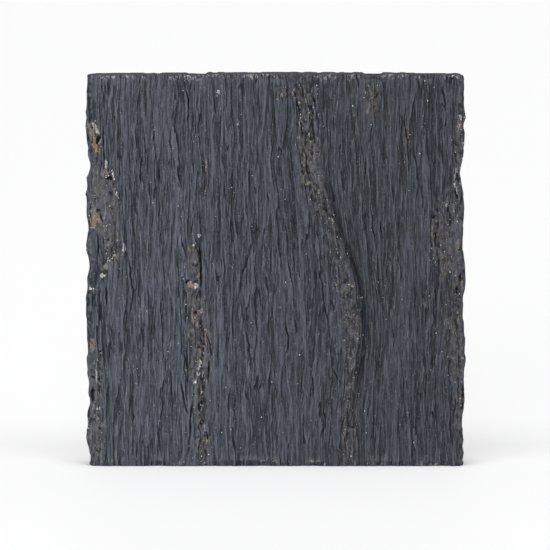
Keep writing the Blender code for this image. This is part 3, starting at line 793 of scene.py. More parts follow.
def curve(points, height, column=1):
    """One column of a list of points at the given heights, joined by a smooth curve."""
    rows = sorted(points)
    heights = np.array([row[0] for row in rows])
    values = np.array([row[column] for row in rows])
    slopes = np.gradient(values, heights)
    upper = np.clip(np.searchsorted(heights, height), 1, len(rows) - 1)
    lower = upper - 1
    span = heights[upper] - heights[lower]
    t = np.clip((height - heights[lower]) / span, 0.0, 1.0)
    step = t * t * (3.0 - 2.0 * t)
    bend = t * (1.0 - t) * span * ((1.0 - t) * slopes[lower] - t * slopes[upper])
    return values[lower] * (1.0 - step) + values[upper] * step + bend


def noise(across, up, seed, cells=NOISE_CELLS):
    """Gradient noise on a plane, between about -1 and 1."""
    angle = np.random.default_rng(seed).uniform(0.0, 2.0 * np.pi, (cells, cells))
    left = np.floor(across).astype(int)
    low = np.floor(up).astype(int)
    du = across - left
    dv = up - low
    corners = []
    for i in (0, 1):
        for j in (0, 1):
            turn = angle[(left + i) % cells, (low + j) % cells]
            corners.append(np.cos(turn) * (du - i) + np.sin(turn) * (dv - j))
    a = du * du * du * (du * (du * 6.0 - 15.0) + 10.0)
    b = dv * dv * dv * (dv * (dv * 6.0 - 15.0) + 10.0)
    low_edge = corners[0] * (1.0 - a) + corners[2] * a
    high_edge = corners[1] * (1.0 - a) + corners[3] * a
    return NOISE_GAIN * (low_edge * (1.0 - b) + high_edge * b)


def grain_noise(grain, height, form, cells=NOISE_CELLS):
    """Noise stretched along the grain."""
    size_across, size_along, size, seed = form
    return size * noise(grain / size_across, height / size_along, seed, cells)


def follow_grain(grain, height):
    """Place across the slab of a grain line: the seam drags the lines near it along."""
    flank = curve(SEAM, height) + curve(SEAM, height, 2)
    pull = SEAM_DRAG * (flank - SEAM_HOME) * bell(grain - SEAM_HOME, SEAM_PULL)
    held = 1.0 - smooth(WANDER_ENDS, 1.0, np.abs(grain) / (WIDTH / 2.0))
    return grain + pull + held * grain_noise(grain, height, WANDER)


def plates(grain, height, form, cells=NOISE_CELLS, step=LEAF_STEP):
    """Long leaves of slate, each with its own level and tilt, which meet in narrow steps."""
    size_across, size_along, size, seed = form
    draw = np.random.default_rng(seed)
    jitter = draw.uniform(*JITTER, (2, cells, cells))
    leaf = draw.uniform(-1.0, 1.0, (3, cells, cells))
    u = grain / size_across
    v = height / size_along
    left = np.floor(u).astype(int)
    low = np.floor(v).astype(int)
    relief = np.zeros(np.shape(u))
    total = np.zeros(np.shape(u))
    for i in (-1, 0, 1):
        for j in (-1, 0, 1):
            cell = ((left + i) % cells, (low + j) % cells)
            du = u - (left + i + jitter[0][cell])
            dv = v - (low + j + jitter[1][cell])
            tilt = leaf[1][cell] * du + leaf[2][cell] * dv
            level = LEAF_LEVEL * leaf[0][cell] + LEAF_TILT * tilt
            share = np.exp(-(du * du + dv * dv) * size_across / step)
            relief += level * share
            total += share
    return size * relief / total


def riven(grain, height, swells, leaves, ridges):
    """Outward relief of a split face: broad swells, plates, and ridges with creases between."""
    relief = sum(grain_noise(grain, height, swell) for swell in swells)
    relief += sum(plates(grain, height, leaf) for leaf in leaves)
    return relief + sum(np.abs(grain_noise(grain, height, ridge)) for ridge in ridges)


def lenses(grain, height, form):
    """Narrow pointed lenses scattered along the grain: their size in the middle, 0 outside them."""
    cell_across, cell_along, half_width, half_length, size, share, seed = form
    draw = np.random.default_rng(seed)
    cells = (FINE_CELLS, FINE_CELLS)
    place_across = draw.uniform(*JITTER, cells)
    place_along = draw.uniform(*JITTER, cells)
    lean = draw.normal(0.0, LENS_LEAN, cells)
    present = draw.uniform(0.0, 1.0, cells) < share
    share_of_size = np.where(present, draw.uniform(LEAST_LENS, 1.0, cells), 0.0)
    u = grain / cell_across
    v = height / cell_along
    left = np.floor(u).astype(int)
    low = np.floor(v).astype(int)
    amount = np.zeros(np.shape(u))
    for i in (-1, 0, 1):
        for j in (-1, 0, 1):
            cell = ((left + i) % FINE_CELLS, (low + j) % FINE_CELLS)
            big = share_of_size[cell]
            up = (v - low - j - place_along[cell]) * cell_along
            across = (u - left - i - place_across[cell]) * cell_across - lean[cell] * up
            end = np.clip(np.abs(up) / (half_length * np.maximum(big, LEAST_LENS)), 0.0, 1.0)
            wide = half_width * (1.0 - end * end) + TINY
            steep = np.clip(LENS_SLOPE * (1.0 - np.abs(across) / wide), 0.0, 1.0)
            lens = big * steep * (end < 1.0)
            amount = np.maximum(amount, lens)
    return size * amount


def fibre_line(x, height):
    """Which line of the finest grain a place on the front lies on."""
    flank = curve(SEAM, height) + curve(SEAM, height, 2)
    offset = x - flank
    near = np.where(offset < 0.0, bell(offset, FIBRE_REACH[0]), bell(offset, FIBRE_REACH[1]))
    return x - FIBRE_DRAG * (flank - SEAM_HOME) * near


def fine_grain(line, height, rough, bare):
    """Fine leaves, fibres, slivers and slits where the grain is bare, facets where it is broken."""
    line = line + grain_noise(line, height, FINE_WANDER, FINE_CELLS)
    relief = sum(plates(line, height, form, FINE_CELLS, FINE_STEP) for form in FINE_PLATES)
    relief += sum(np.abs(grain_noise(line, height, form, FINE_CELLS)) for form in FIBRES)
    relief += sum(lenses(line, height, form) for form in SLIVERS + SLITS)
    chips = sum(plates(line, height, form, FINE_CELLS, FINE_STEP) for form in BROKEN_CELLS)
    return relief * bare + chips * rough


def seam(x, height):
    """The slanting seam: a soft ramp on its left, a steep flank on its right."""
    offset = x - curve(SEAM, height)
    half = curve(SEAM, height, 2)
    rise = curve(SEAM, height, 3)
    ramp = smooth(-half - SEAM_RAMP / 2.0, -half + SEAM_RAMP / 2.0, offset)
    fall = 1.0 - smooth(half - SEAM_FLANK / 2.0, half + SEAM_FLANK / 2.0, offset)
    share, place, reach = SEAM_TROUGH
    trough = share * bell(offset - half - place * SEAM_FLANK, reach * SEAM_FLANK)
    lumps = np.abs(grain_noise(x, height, SEAM_LUMPS)) * smooth(0.0, LUMPS_WHOLE, half)
    return rise * (ramp * fall - trough) + lumps * ramp * fall


def gash(x, height):
    """The open gash: a facet that slopes down to a steep wall on its right."""
    offset = x - along(GASH, height)
    half = along(GASH, height, 2)
    slope = smooth(-half, GASH_FLOOR * half, offset)
    wall = 1.0 - smooth(GASH_WALL * half, half, offset)
    return -along(GASH, height, 3) * slope * wall


def margin(from_side, height, points):
    """A broken margin: a ledge, and a fall from it towards the side."""
    width = along(points, height)
    outside = 1.0 - smooth(width - MARGIN_EDGE, width, from_side)
    fall = np.clip(1.0 - from_side / width, 0.0, 1.0)
    return -along(points, height, 2) * outside - along(points, height, 3) * fall * fall


def groove(x, height, route, half_width, depth):
    """A groove that runs along a route and dies out at both ends."""
    ends = [point[0] for point in route]
    middle = (min(ends) + max(ends)) / 2.0
    reach = (max(ends) - min(ends)) / 2.0
    return -depth * bell(x - along(route, height), half_width) * bell(height - middle, reach)


def blade(x, height):
    """The raised blade, which dies out at both ends."""
    return -groove(x, height, BLADE, BLADE_HALF_WIDTH, BLADE_RISE)


def arris_scar(x, from_arris, place, reach, tall, depth):
    """A shallow scar that opens on an arris."""
    return depth * bell(x - place, reach) * (1.0 - smooth(SCAR_KEEP * tall, tall, from_arris))


def break_edges(relief, x, height, margins, grooves, facing):
    """Adds a face's margins, grooves and arris scars; facing is -1 where the scars are mirrored."""
    left, right = margins
    relief += margin(x + WIDTH / 2.0, height, left)
    relief += margin(WIDTH / 2.0 - x, height, right)
    relief += sum(groove(x, height, *form) for form in grooves)
    relief -= sum(arris_scar(facing * x, height, *form) for form in BASE_SCARS)
    relief -= sum(arris_scar(facing * x, HEIGHT - height, *form) for form in TOP_SCARS)
    return relief


def front_relief(grain, x, height):
    """How far the front stands out from its plane."""
    relief = riven(grain, height, FRONT_SWELLS, FRONT_PLATES, FRONT_RIDGES)
    relief += seam(x, height) + gash(x, height) + blade(x, height)
    return break_edges(relief, x, height, (LEFT_MARGIN, RIGHT_MARGIN), FRONT_GROOVES, 1.0)


def back_relief(grain, x, height):
    """How far the back stands out from its plane."""
    relief = riven(grain, height, BACK_SWELLS, BACK_PLATES, BACK_RIDGES)
    past_ledge = x - along(BACK_LEDGE, height)
    drop = BACK_LEDGE_DROP * smooth(0.0, MARGIN_EDGE, past_ledge)
    relief -= drop * bell(past_ledge, WIDTH / 2.0)
    return break_edges(relief, x, height, (BACK_LEFT_MARGIN, BACK_RIGHT_MARGIN), BACK_GROOVES, -1.0)


def worn_edge(height, wear_at_top, wear_at_base):
    """How far a face falls back at the top and base arrises."""
    at_top = wear_at_top * (1.0 - smooth(0.0, RIM, HEIGHT - height))
    at_base = wear_at_base * (1.0 - smooth(0.0, RIM, height))
    return at_top + at_base


def corner(distance, radius):
    """How far a rounded corner falls back at a distance from its end."""
    inside = np.clip(radius - distance, 0.0, radius)
    return radius - np.sqrt(radius * radius - inside * inside)


def bite(depth, height, middle, reach, size, lean):
    """One bite out of a side; depth runs from -1 at the front to 1 at the back."""
    slant, shift = BITE_LEAN
    struck = smooth(-1.0, 1.0, 1.0 + slant * lean * depth - shift * abs(lean))
    return size * bell(height - middle, reach) * struck


def side_inset(depth, height, bites, top_corner, seed):
    """How far a side falls inwards; depth runs from -1 at the front to 1 at the back."""
    through = depth * CORE_THICKNESS / 2.0
    place, wander, span, reach = CREST
    crest = place + wander * noise(height / span, 0.0 * height, seed)
    fallen = smooth(0.0, reach, np.abs(depth - crest))
    bitten = sum(bite(depth, height, *form) for form in bites)
    split = np.zeros(np.shape(height))
    for count, (thick, tall, size) in enumerate(SIDE_SHEETS):
        split += size * (1.0 + noise(through / thick, height / tall, seed + count))
    tall, size, start = SIDE_CHIPPING
    chipped = 1.0 + noise(np.sign(depth) * ARRIS_SPREAD, height / tall, seed + len(SIDE_SHEETS))
    split += size * chipped * smooth(start, 1.0, np.abs(depth))
    rounded = corner(HEIGHT - height, top_corner) + corner(height, BASE_CORNER)
    return bitten + split * fallen + rounded


def patches(x, height, places):
    """How much of a mineral lies at each point, from the list of its patches."""
    amount = np.zeros(np.shape(x))
    for middle, level, half_width, half_height, lean in places:
        across = (x - middle - lean * (height - level)) / half_width
        up = (height - level) / half_height
        out = np.sqrt(across * across + up * up)
        amount = np.maximum(amount, 1.0 - smooth(*PATCH_EDGE, out))
    return amount


def seam_share(x, height):
    """1 on the seam's broken right side, 0 away from it."""
    start, whole, thinning, end = SEAM_BROKEN
    half = curve(SEAM, height, 2)
    offset = (x - curve(SEAM, height)) / half
    inside = smooth(start, whole, offset) * (1.0 - smooth(thinning, end, offset))
    return inside * smooth(*SEAM_FADE, half)


def seam_flank(x, height):
    """The mask of the painted shade: 1 down the steep flank of the seam where it stands highest, 0
    away from it.
    """
    offset = x - curve(SEAM, height) - curve(SEAM, height, 2)
    return bell(offset, SEAM_FLANK) * smooth(*FLANK_RISE, curve(SEAM, height, 3))


def soften(field, reach):
    """A field on the grid of rows and ring places, blurred a number of times."""
    for _ in range(reach):
        field = (np.roll(field, 1, axis=1) + 2.0 * field + np.roll(field, -1, axis=1)) / 4.0
    for _ in range(reach):
        padded = np.pad(field, ((1, 1), (0, 0)), mode="edge")
        field = (padded[:-2] + 2.0 * field + padded[2:]) / 4.0
    return field


def hollowness(relief, reach, depth):
    """How far each point lies below the blurred relief around it, in depths."""
    return (soften(relief, reach) - relief) / depth


def ring_places(look):
    """Places around the stone, from the front's left: across and depth, each from -1 to 1."""
    front = np.linspace(-1.0, 1.0, look.front_columns + 1)
    back = np.linspace(1.0, -1.0, look.back_columns + 1)
    side = np.linspace(-1.0, 1.0, look.side_columns + 1)[1:-1]
    across = np.concatenate((front, np.ones_like(side), back, -np.ones_like(side)))
    depth = np.concatenate((-np.ones_like(front), side, np.ones_like(back), -side))
    return across, depth


def ragged(x, through, height):
    """A place shifted a little at random, so that patches get broken outlines, on the sides too."""
    wide, tall, shift, seed = EDGE_BREAK
    across = shift * noise((x + through) / wide, height / tall, seed, FINE_CELLS)
    up = shift * noise((x + through) / wide, height / tall, seed + 1, FINE_CELLS)
    return x + across, height + EDGE_BREAK_UP * up


def front_share(through, height):
    """1 on the front face, fading in tongues over the front part of the sides."""
    wide, tall, deep, seed, unevenness = SIDE_REACH
    tongues = 1.0 + unevenness * noise(through / wide, height / tall, seed, FINE_CELLS)
    return 1.0 - smooth(0.0, deep, through * tongues)


def cracks(x, height):
    """The cracks: thin, crooked, and deeper in some places than in others."""
    crooked = x + grain_noise(x, height, CRACK_WAVER, FINE_CELLS)
    depth = CRACK_MEAN + grain_noise(x, height, CRACK_CHANGE, FINE_CELLS)
    return depth * sum(groove(crooked, height, *form) for form in CRACKS)


def pits(x, height):
    """The holes, each with a flat floor and steep walls."""
    relief = np.zeros(np.shape(x))
    for *place, depth in PITS:
        relief = np.minimum(relief, -depth * patches(x, height, (place,)))
    return relief


def row_heights(look):
    """Heights of the rows, with a few close together at each arris."""
    rim = np.array(RIM_ROWS) * RIM
    middle = np.linspace(RIM, HEIGHT - RIM, look.rows + 1)
    return np.concatenate((rim, middle, HEIGHT - rim[::-1]))


def broken_sides(x, across, depth, height):
    """Places across, with the shapes of the two sides taken off them."""
    left = side_inset(depth, height, LEFT_BITES, TOP_LEFT_CORNER, LEFT_SIDE_SEED)
    right = side_inset(depth, height, RIGHT_BITES, TOP_RIGHT_CORNER, RIGHT_SIDE_SEED)
    flakes = plates(depth * CORE_THICKNESS / 2.0, height, SIDE_FLAKES, FINE_CELLS, FINE_STEP)
    hold = np.abs(across) ** SIDE_HOLD
    return x + hold * np.where(across < 0.0, left + flakes, -right - flakes)


def front_grounds(x, height, place, on_front):
    """What the stone is made of: how much of each kind of ground there is at each point; with the
    masks of the painted shade down the seam's flank and of the warm band, which is also painted darker
    towards the right.
    """
    grounds = {name: patches(*place, places) * on_front for name, places in GROUNDS}
    grounds["seam"] = seam_share(x, height) * on_front
    # The mask of the painted shade down the seam's flank.
    grounds["flank"] = seam_flank(x, height) * on_front
    # The warm band: a warmer tone, and painted shade towards the right.
    grounds["warm"] = smooth(*WARM_AND_SHADED_BAND, x) * on_front
    return grounds


def stone_surface(look):
    """The stone's points on a grid of rows and ring places, with what each point is made of and the
    masks of the painted shade.
    """
    across, depth = ring_places(look)
    across, height = np.meshgrid(across, row_heights(look))
    depth = np.broadcast_to(depth, across.shape)
    grain = across * WIDTH / 2.0
    x = broken_sides(follow_grain(grain, height), across, depth, height)
    through = (depth + 1.0) * CORE_THICKNESS / 2.0
    place = ragged(x, through, height)
    on_front = front_share(through, height)
    facts = front_grounds(x, height, place, on_front)
    scar, brown, on_seam = facts["scar"], facts["brown"], facts["seam"]
    at_side = smooth(SIDE_FROM, 1.0, np.abs(across))
    rough = np.clip(weigh(ROUGHNESS, (brown, on_seam)) + at_side, 0.0, 1.0)
    lost = weigh(GRAIN_LOSS, (scar, brown, on_seam, at_side))
    line = fibre_line(x, height)
    front = front_relief(grain, x, height)
    front = front + fine_grain(line, height, rough, 1.0 - np.clip(lost, 0.0, 1.0))
    opened = pits(*place) + cracks(x, height)
    front += opened + CRUST_RISE[0] * facts["tan"] + CRUST_RISE[1] * facts["white"]
    back = back_relief(grain, x, height)
    back_bare = 1.0 - GRAIN_LOSS[3] * at_side
    back += fine_grain(BACK_SHIFT - grain, height, BACK_ROUGHNESS * rough, back_bare)
    plane = CORE_THICKNESS / 2.0 - worn_edge(height, TOP_WEAR, BASE_WEAR)
    share = (depth + 1.0) / 2.0
    y = (-plane - front) * (1.0 - share) + (plane + back) * share
    z = worn_top(x, depth, height)
    relief = front * (1.0 - share) + back * share
    # How far each point lies in a hollow: the mask of the painted shade in hollows, and of the pale
    # proud fibres.
    facts["hollow"] = hollowness(relief, *HOLLOWS)
    facts["broad_hollow"] = hollowness(relief, *BROAD_HOLLOWS)
    # The mask of the painted shade in cracks and holes.
    facts["open"] = smooth(*OPEN_DEPTH, -opened) * on_front
    facts["worn"] = smooth(HEIGHT - WORN_BAND[0], HEIGHT - WORN_BAND[1], z)
    return np.stack((x, y, z), axis=2), np.stack((line, y, height), axis=2), facts


def worn_top(x, depth, height):
    """Heights, with the wear and the chips of the top arris taken off them."""
    wide, through_half, deep, seed = TOP_CHIPPING
    chips = np.maximum(noise(x / wide, depth * through_half, seed), 0.0)
    lowered = along(TOP_DROP, x) + deep * chips
    return height - lowered * smooth(HEIGHT - TOP_BAND, HEIGHT, height)


def top_rings(rim):
    """Rings that close the worn top, each nearer to the line along its middle."""
    rings = []
    for step in TOP_STEPS:
        ring = rim.copy()
        ring[:, 1] *= 1.0 - step
        x, y = ring[:, 0], ring[:, 1]
        facets = sum(plates(x, y, form, NOISE_CELLS, FINE_STEP) for form in TOP_CELLS)
        lowered = np.maximum(facets + TOP_LEVEL, 0.0) + along(TOP_DROP, x)
        ring[:, 2] = HEIGHT - lowered
        rings.append(ring)
    return np.array(rings)


def close_top(points, grain, facts):
    """Adds the rings of the worn top to the points and to what they are made of."""
    rings = top_rings(points[-1])
    points = np.concatenate((points, rings))
    grain = np.concatenate((grain, rings))
    for name, values in facts.items():
        filler = 1.0 if name == "worn" else 0.0
        facts[name] = np.concatenate((values, np.full(rings.shape[:2], filler)))
    return points, grain, facts


def fit_to_solid(points):
    """Brings the points to the solid's box."""
    for axis in (0, 1):
        low, high = points[..., axis].min(), points[..., axis].max()
        scale = (STONE_HIGH[axis] - STONE_LOW[axis]) / (high - low)
        points[..., axis] = STONE_LOW[axis] + (points[..., axis] - low) * scale
    return points


def closed_faces(rows, ring):
    """Quads between the rows, and one face over each end."""
    row, place = np.meshgrid(np.arange(rows - 1), np.arange(ring), indexing="ij")
    after = (place + 1) % ring
    below, above = row * ring, (row + 1) * ring
    quads = np.stack((below + place, below + after, above + after, above + place), axis=2)
    base = list(range(ring - 1, -1, -1))
    top = list(range((rows - 1) * ring, rows * ring))
    return quads.reshape(-1, 4).tolist() + [base, top]


def add_facts(mesh, grain, facts):
    """Writes what each point is made of, and the masks of the painted shade, into the mesh."""
    layer = mesh.attributes.new("grain", "FLOAT_VECTOR", "POINT")
    layer.data.foreach_set("vector", grain.reshape(-1).astype(np.float32))
    for name, values in facts.items():
        layer = mesh.attributes.new(name, "FLOAT", "POINT")
        layer.data.foreach_set("value", values.reshape(-1).astype(np.float32))


def thin_out(mesh, budget):
    """A copy of the mesh with no more triangles than its budget, most of them where it bends."""
    fine = bpy.data.objects.new("fine_stone", mesh)
    bpy.context.scene.collection.objects.link(fine)
    mesh.calc_loop_triangles()
    facets = fine.modifiers.new("facets", "DECIMATE")
    facets.ratio = min(1.0, budget / len(mesh.loop_triangles))
    graph = bpy.context.evaluated_depsgraph_get()
    thinned = bpy.data.meshes.new_from_object(fine.evaluated_get(graph))
    bpy.data.objects.remove(fine)
    bpy.data.meshes.remove(mesh)
    return thinned


def crumb_places(points, facts, draw):
    """The points that carry a crumb, how tan rather than white each is, and how crusted."""
    bare, rough, crust = CRUMBS_A_CENTIMETRE
    crusted = np.maximum(facts["tan"], facts["white"])
    wanted = bare + rough * np.maximum(facts["seam"], facts["brown"])
    wanted = wanted + crust * (crusted > CRUST_FROM)
    across = np.abs(np.diff(points[..., 0], axis=1, append=points[:, :1, 0]))
    up = np.abs(np.diff(points[..., 2], axis=0, append=points[-1:, :, 2]))
    clear_of_base = points[..., 2] > 2.0 * CRUMB_SIZES[1]
    wanted = wanted * across * up / SQUARE_CENTIMETRE * clear_of_base
    wanted[points[..., 1] > 0.0] *= CRUMBS_AT_BACK
    row, place = np.nonzero(draw.uniform(0.0, 1.0, wanted.shape) < wanted)
    tan = facts["tan"]
    for ground, weight in CRUMB_TAN:
        tan = tan + weight * facts[ground]
    return points[row, place], tan[row, place], crusted[row, place]


def crumb_mesh(points, facts):
    """Small angular crystals, each partly sunk in the stone."""
    draw = np.random.default_rng(CRUMB_SEED)
    places, tan, crusted = crumb_places(points, facts, draw)
    corners = np.array(CRUMB_CORNERS, dtype=float)
    count, each = len(places), len(corners)
    grown = CRUMB_GROWTH[0] + CRUMB_GROWTH[1] * crusted[:, None, None]
    size = draw.uniform(*CRUMB_SIZES, (count, 1, 1)) * grown
    stretch = np.array(CRUMB_STRETCH) * draw.uniform(*CRUMB_SPREAD, (count, 1, 3))
    shape = corners * size * stretch * draw.uniform(*CORNER_SPREAD, (count, each, 3))
    turn = draw.uniform(-CRUMB_TURN, CRUMB_TURN, count)
    cosine, sine = np.cos(turn)[:, None], np.sin(turn)[:, None]
    x = shape[..., 0] * cosine - shape[..., 2] * sine
    z = shape[..., 0] * sine + shape[..., 2] * cosine
    outward = np.sign(places[:, 1])[:, None]
    y = shape[..., 1] - outward * CRUMB_SUNK * size[..., 0]
    crumbs = np.stack((x, y, z), axis=2) + places[:, None, :]
    first = each * np.arange(count)[:, None, None]
    faces = (np.array(CRUMB_FACES)[None] + first).reshape(-1, 3)
    mesh = bpy.data.meshes.new("mineral_crumbs")
    mesh.from_pydata(crumbs.reshape(-1, 3).tolist(), [], faces.tolist())
    tan = tan + draw.normal(0.0, CRUMB_TAN_CHANGE, count)
    layer = mesh.attributes.new("tan", "FLOAT", "POINT")
    layer.data.foreach_set("value", np.repeat(tan, each).astype(np.float32))
    return mesh


class Wire:
    """A shader socket that can stand in sums."""

    def __init__(self, maker, socket):
        self.maker = maker
        self.socket = socket

    def __add__(self, other):
        return self.maker.maths("ADD", self, other)

    def __radd__(self, other):
        return self.maker.maths("ADD", other, self)

    def __sub__(self, other):
        return self.maker.maths("SUBTRACT", self, other)

    def __rsub__(self, other):
        return self.maker.maths("SUBTRACT", other, self)

    def __mul__(self, other):
        return self.maker.maths("MULTIPLY", self, other)

    def __rmul__(self, other):
        return self.maker.maths("MULTIPLY", other, self)


class MaterialMaker:
    """Builds one node material around a Principled surface."""

    def __init__(self, name):
        self.material = bpy.data.materials.new(name)
        self.material.use_nodes = True
        self.tree = self.material.node_tree
        self.surface = self.tree.nodes["Principled BSDF"]

    def node(self, kind, settings=None, inputs=None, output=None):
        """Adds a node: its settings first, then its sockets' values or links."""
        made = self.tree.nodes.new(kind)
        for key, value in (settings or {}).items():
            setattr(made, key, value)
        for key, value in (inputs or {}).items():
            self.feed(made, key, value)
        usable = [s for s in made.outputs if s.enabled]
        socket = next((s for s in usable if s.name == output), usable[0])
        return Wire(self, socket)

    def feed(self, node, key, value):
        """Sets or links one socket of a node."""
        named = [s for s in node.inputs if s.enabled and s.name == key]
        socket = named[0] if named else node.inputs[key]
        if isinstance(value, Wire):
            self.tree.links.new(value.socket, socket)
        else:
            socket.default_value = value

    def maths(self, operation, first, second):
        """One Math node on two values."""
        return self.node("ShaderNodeMath", {"operation": operation}, {0: first, 1: second})

    def vectors(self, operation, first, second):
        """One Vector Math node on two vectors."""
        return self.node("ShaderNodeVectorMath", {"operation": operation}, {0: first, 1: second})

    def fact(self, name, output="Fac"):
        """What the mesh holds under a name at each point."""
        return self.node("ShaderNodeAttribute", {"attribute_name": name}, output=output)

    def ramp(self, value, low, high):
        """0 below low, 1 above high, soft between."""
        settings = {"interpolation_type": "SMOOTHSTEP"}
        inputs = {"Value": value, "From Min": low, "From Max": high}
        return self.node("ShaderNodeMapRange", settings, inputs)

    def mix(self, share, first, second):
        """The second colour laid over the first by a share."""
        inputs = {"Factor": share, "A": first, "B": second}
        return self.node("ShaderNodeMix", {"data_type": "RGBA"}, inputs)

    def grains(self, vector, scale, detail, roughness):
        """Noise between 0 and 1."""
        vector = self.vectors("MULTIPLY", vector, scale)
        inputs = {"Vector": vector, "Scale": 1.0, "Detail": detail, "Roughness": roughness}
        return self.node("ShaderNodeTexNoise", {}, inputs, "Fac")

    def strands(self, vector, scale):
        """A value for each cell of a field of cells, between 0 and 1."""
        inputs = {"Vector": self.vectors("MULTIPLY", vector, scale), "Scale": 1.0}
        colour = self.node("ShaderNodeTexVoronoi", {"feature": "F1"}, inputs, "Color")
        return self.node("ShaderNodeSeparateColor", {}, {"Color": colour}, "Red")

    def bend(self, vector, grain, scale, reach):
        """A vector shifted by noise on the grain, up to a reach in each of its parts."""
        inputs = {"Vector": self.vectors("MULTIPLY", grain, scale), "Scale": 1.0}
        noises = self.node("ShaderNodeTexNoise", {}, inputs, "Color")
        centred = self.vectors("SUBTRACT", noises, (0.5, 0.5, 0.5))
        return self.vectors("ADD", vector, self.vectors("MULTIPLY", centred, reach))

    def leaves(self, vector, scale, width, detail):
        """Overlapping leaves: how proud each stands, its painted highlight rims, and the painted
        shadow line beside it.
        """
        levels = []
        for count in range(3):
            offset = (count * width, RIM_LEAN * count * width, 0.0)
            beside = self.vectors("ADD", vector, offset)
            levels.append(self.grains(beside, scale, detail, LEAF_ROUGHNESS))
        above = [self.ramp(level, *LEAF_LINE) for level in levels]
        below = [self.ramp(level, *LEAF_LINE[::-1]) for level in levels]
        painted_highlights = below[0] * above[1] + LIP_HIGHLIGHT * (above[1] * below[2])
        return self.ramp(levels[0], *LEAF_RISE), painted_highlights, above[0] * below[1]

    def finish(self, **sockets):
        """Sets or links sockets of the surface; spaces in their names are written as _."""
        for key, value in sockets.items():
            self.feed(self.surface, key.replace("_", " "), value)
        return self.material


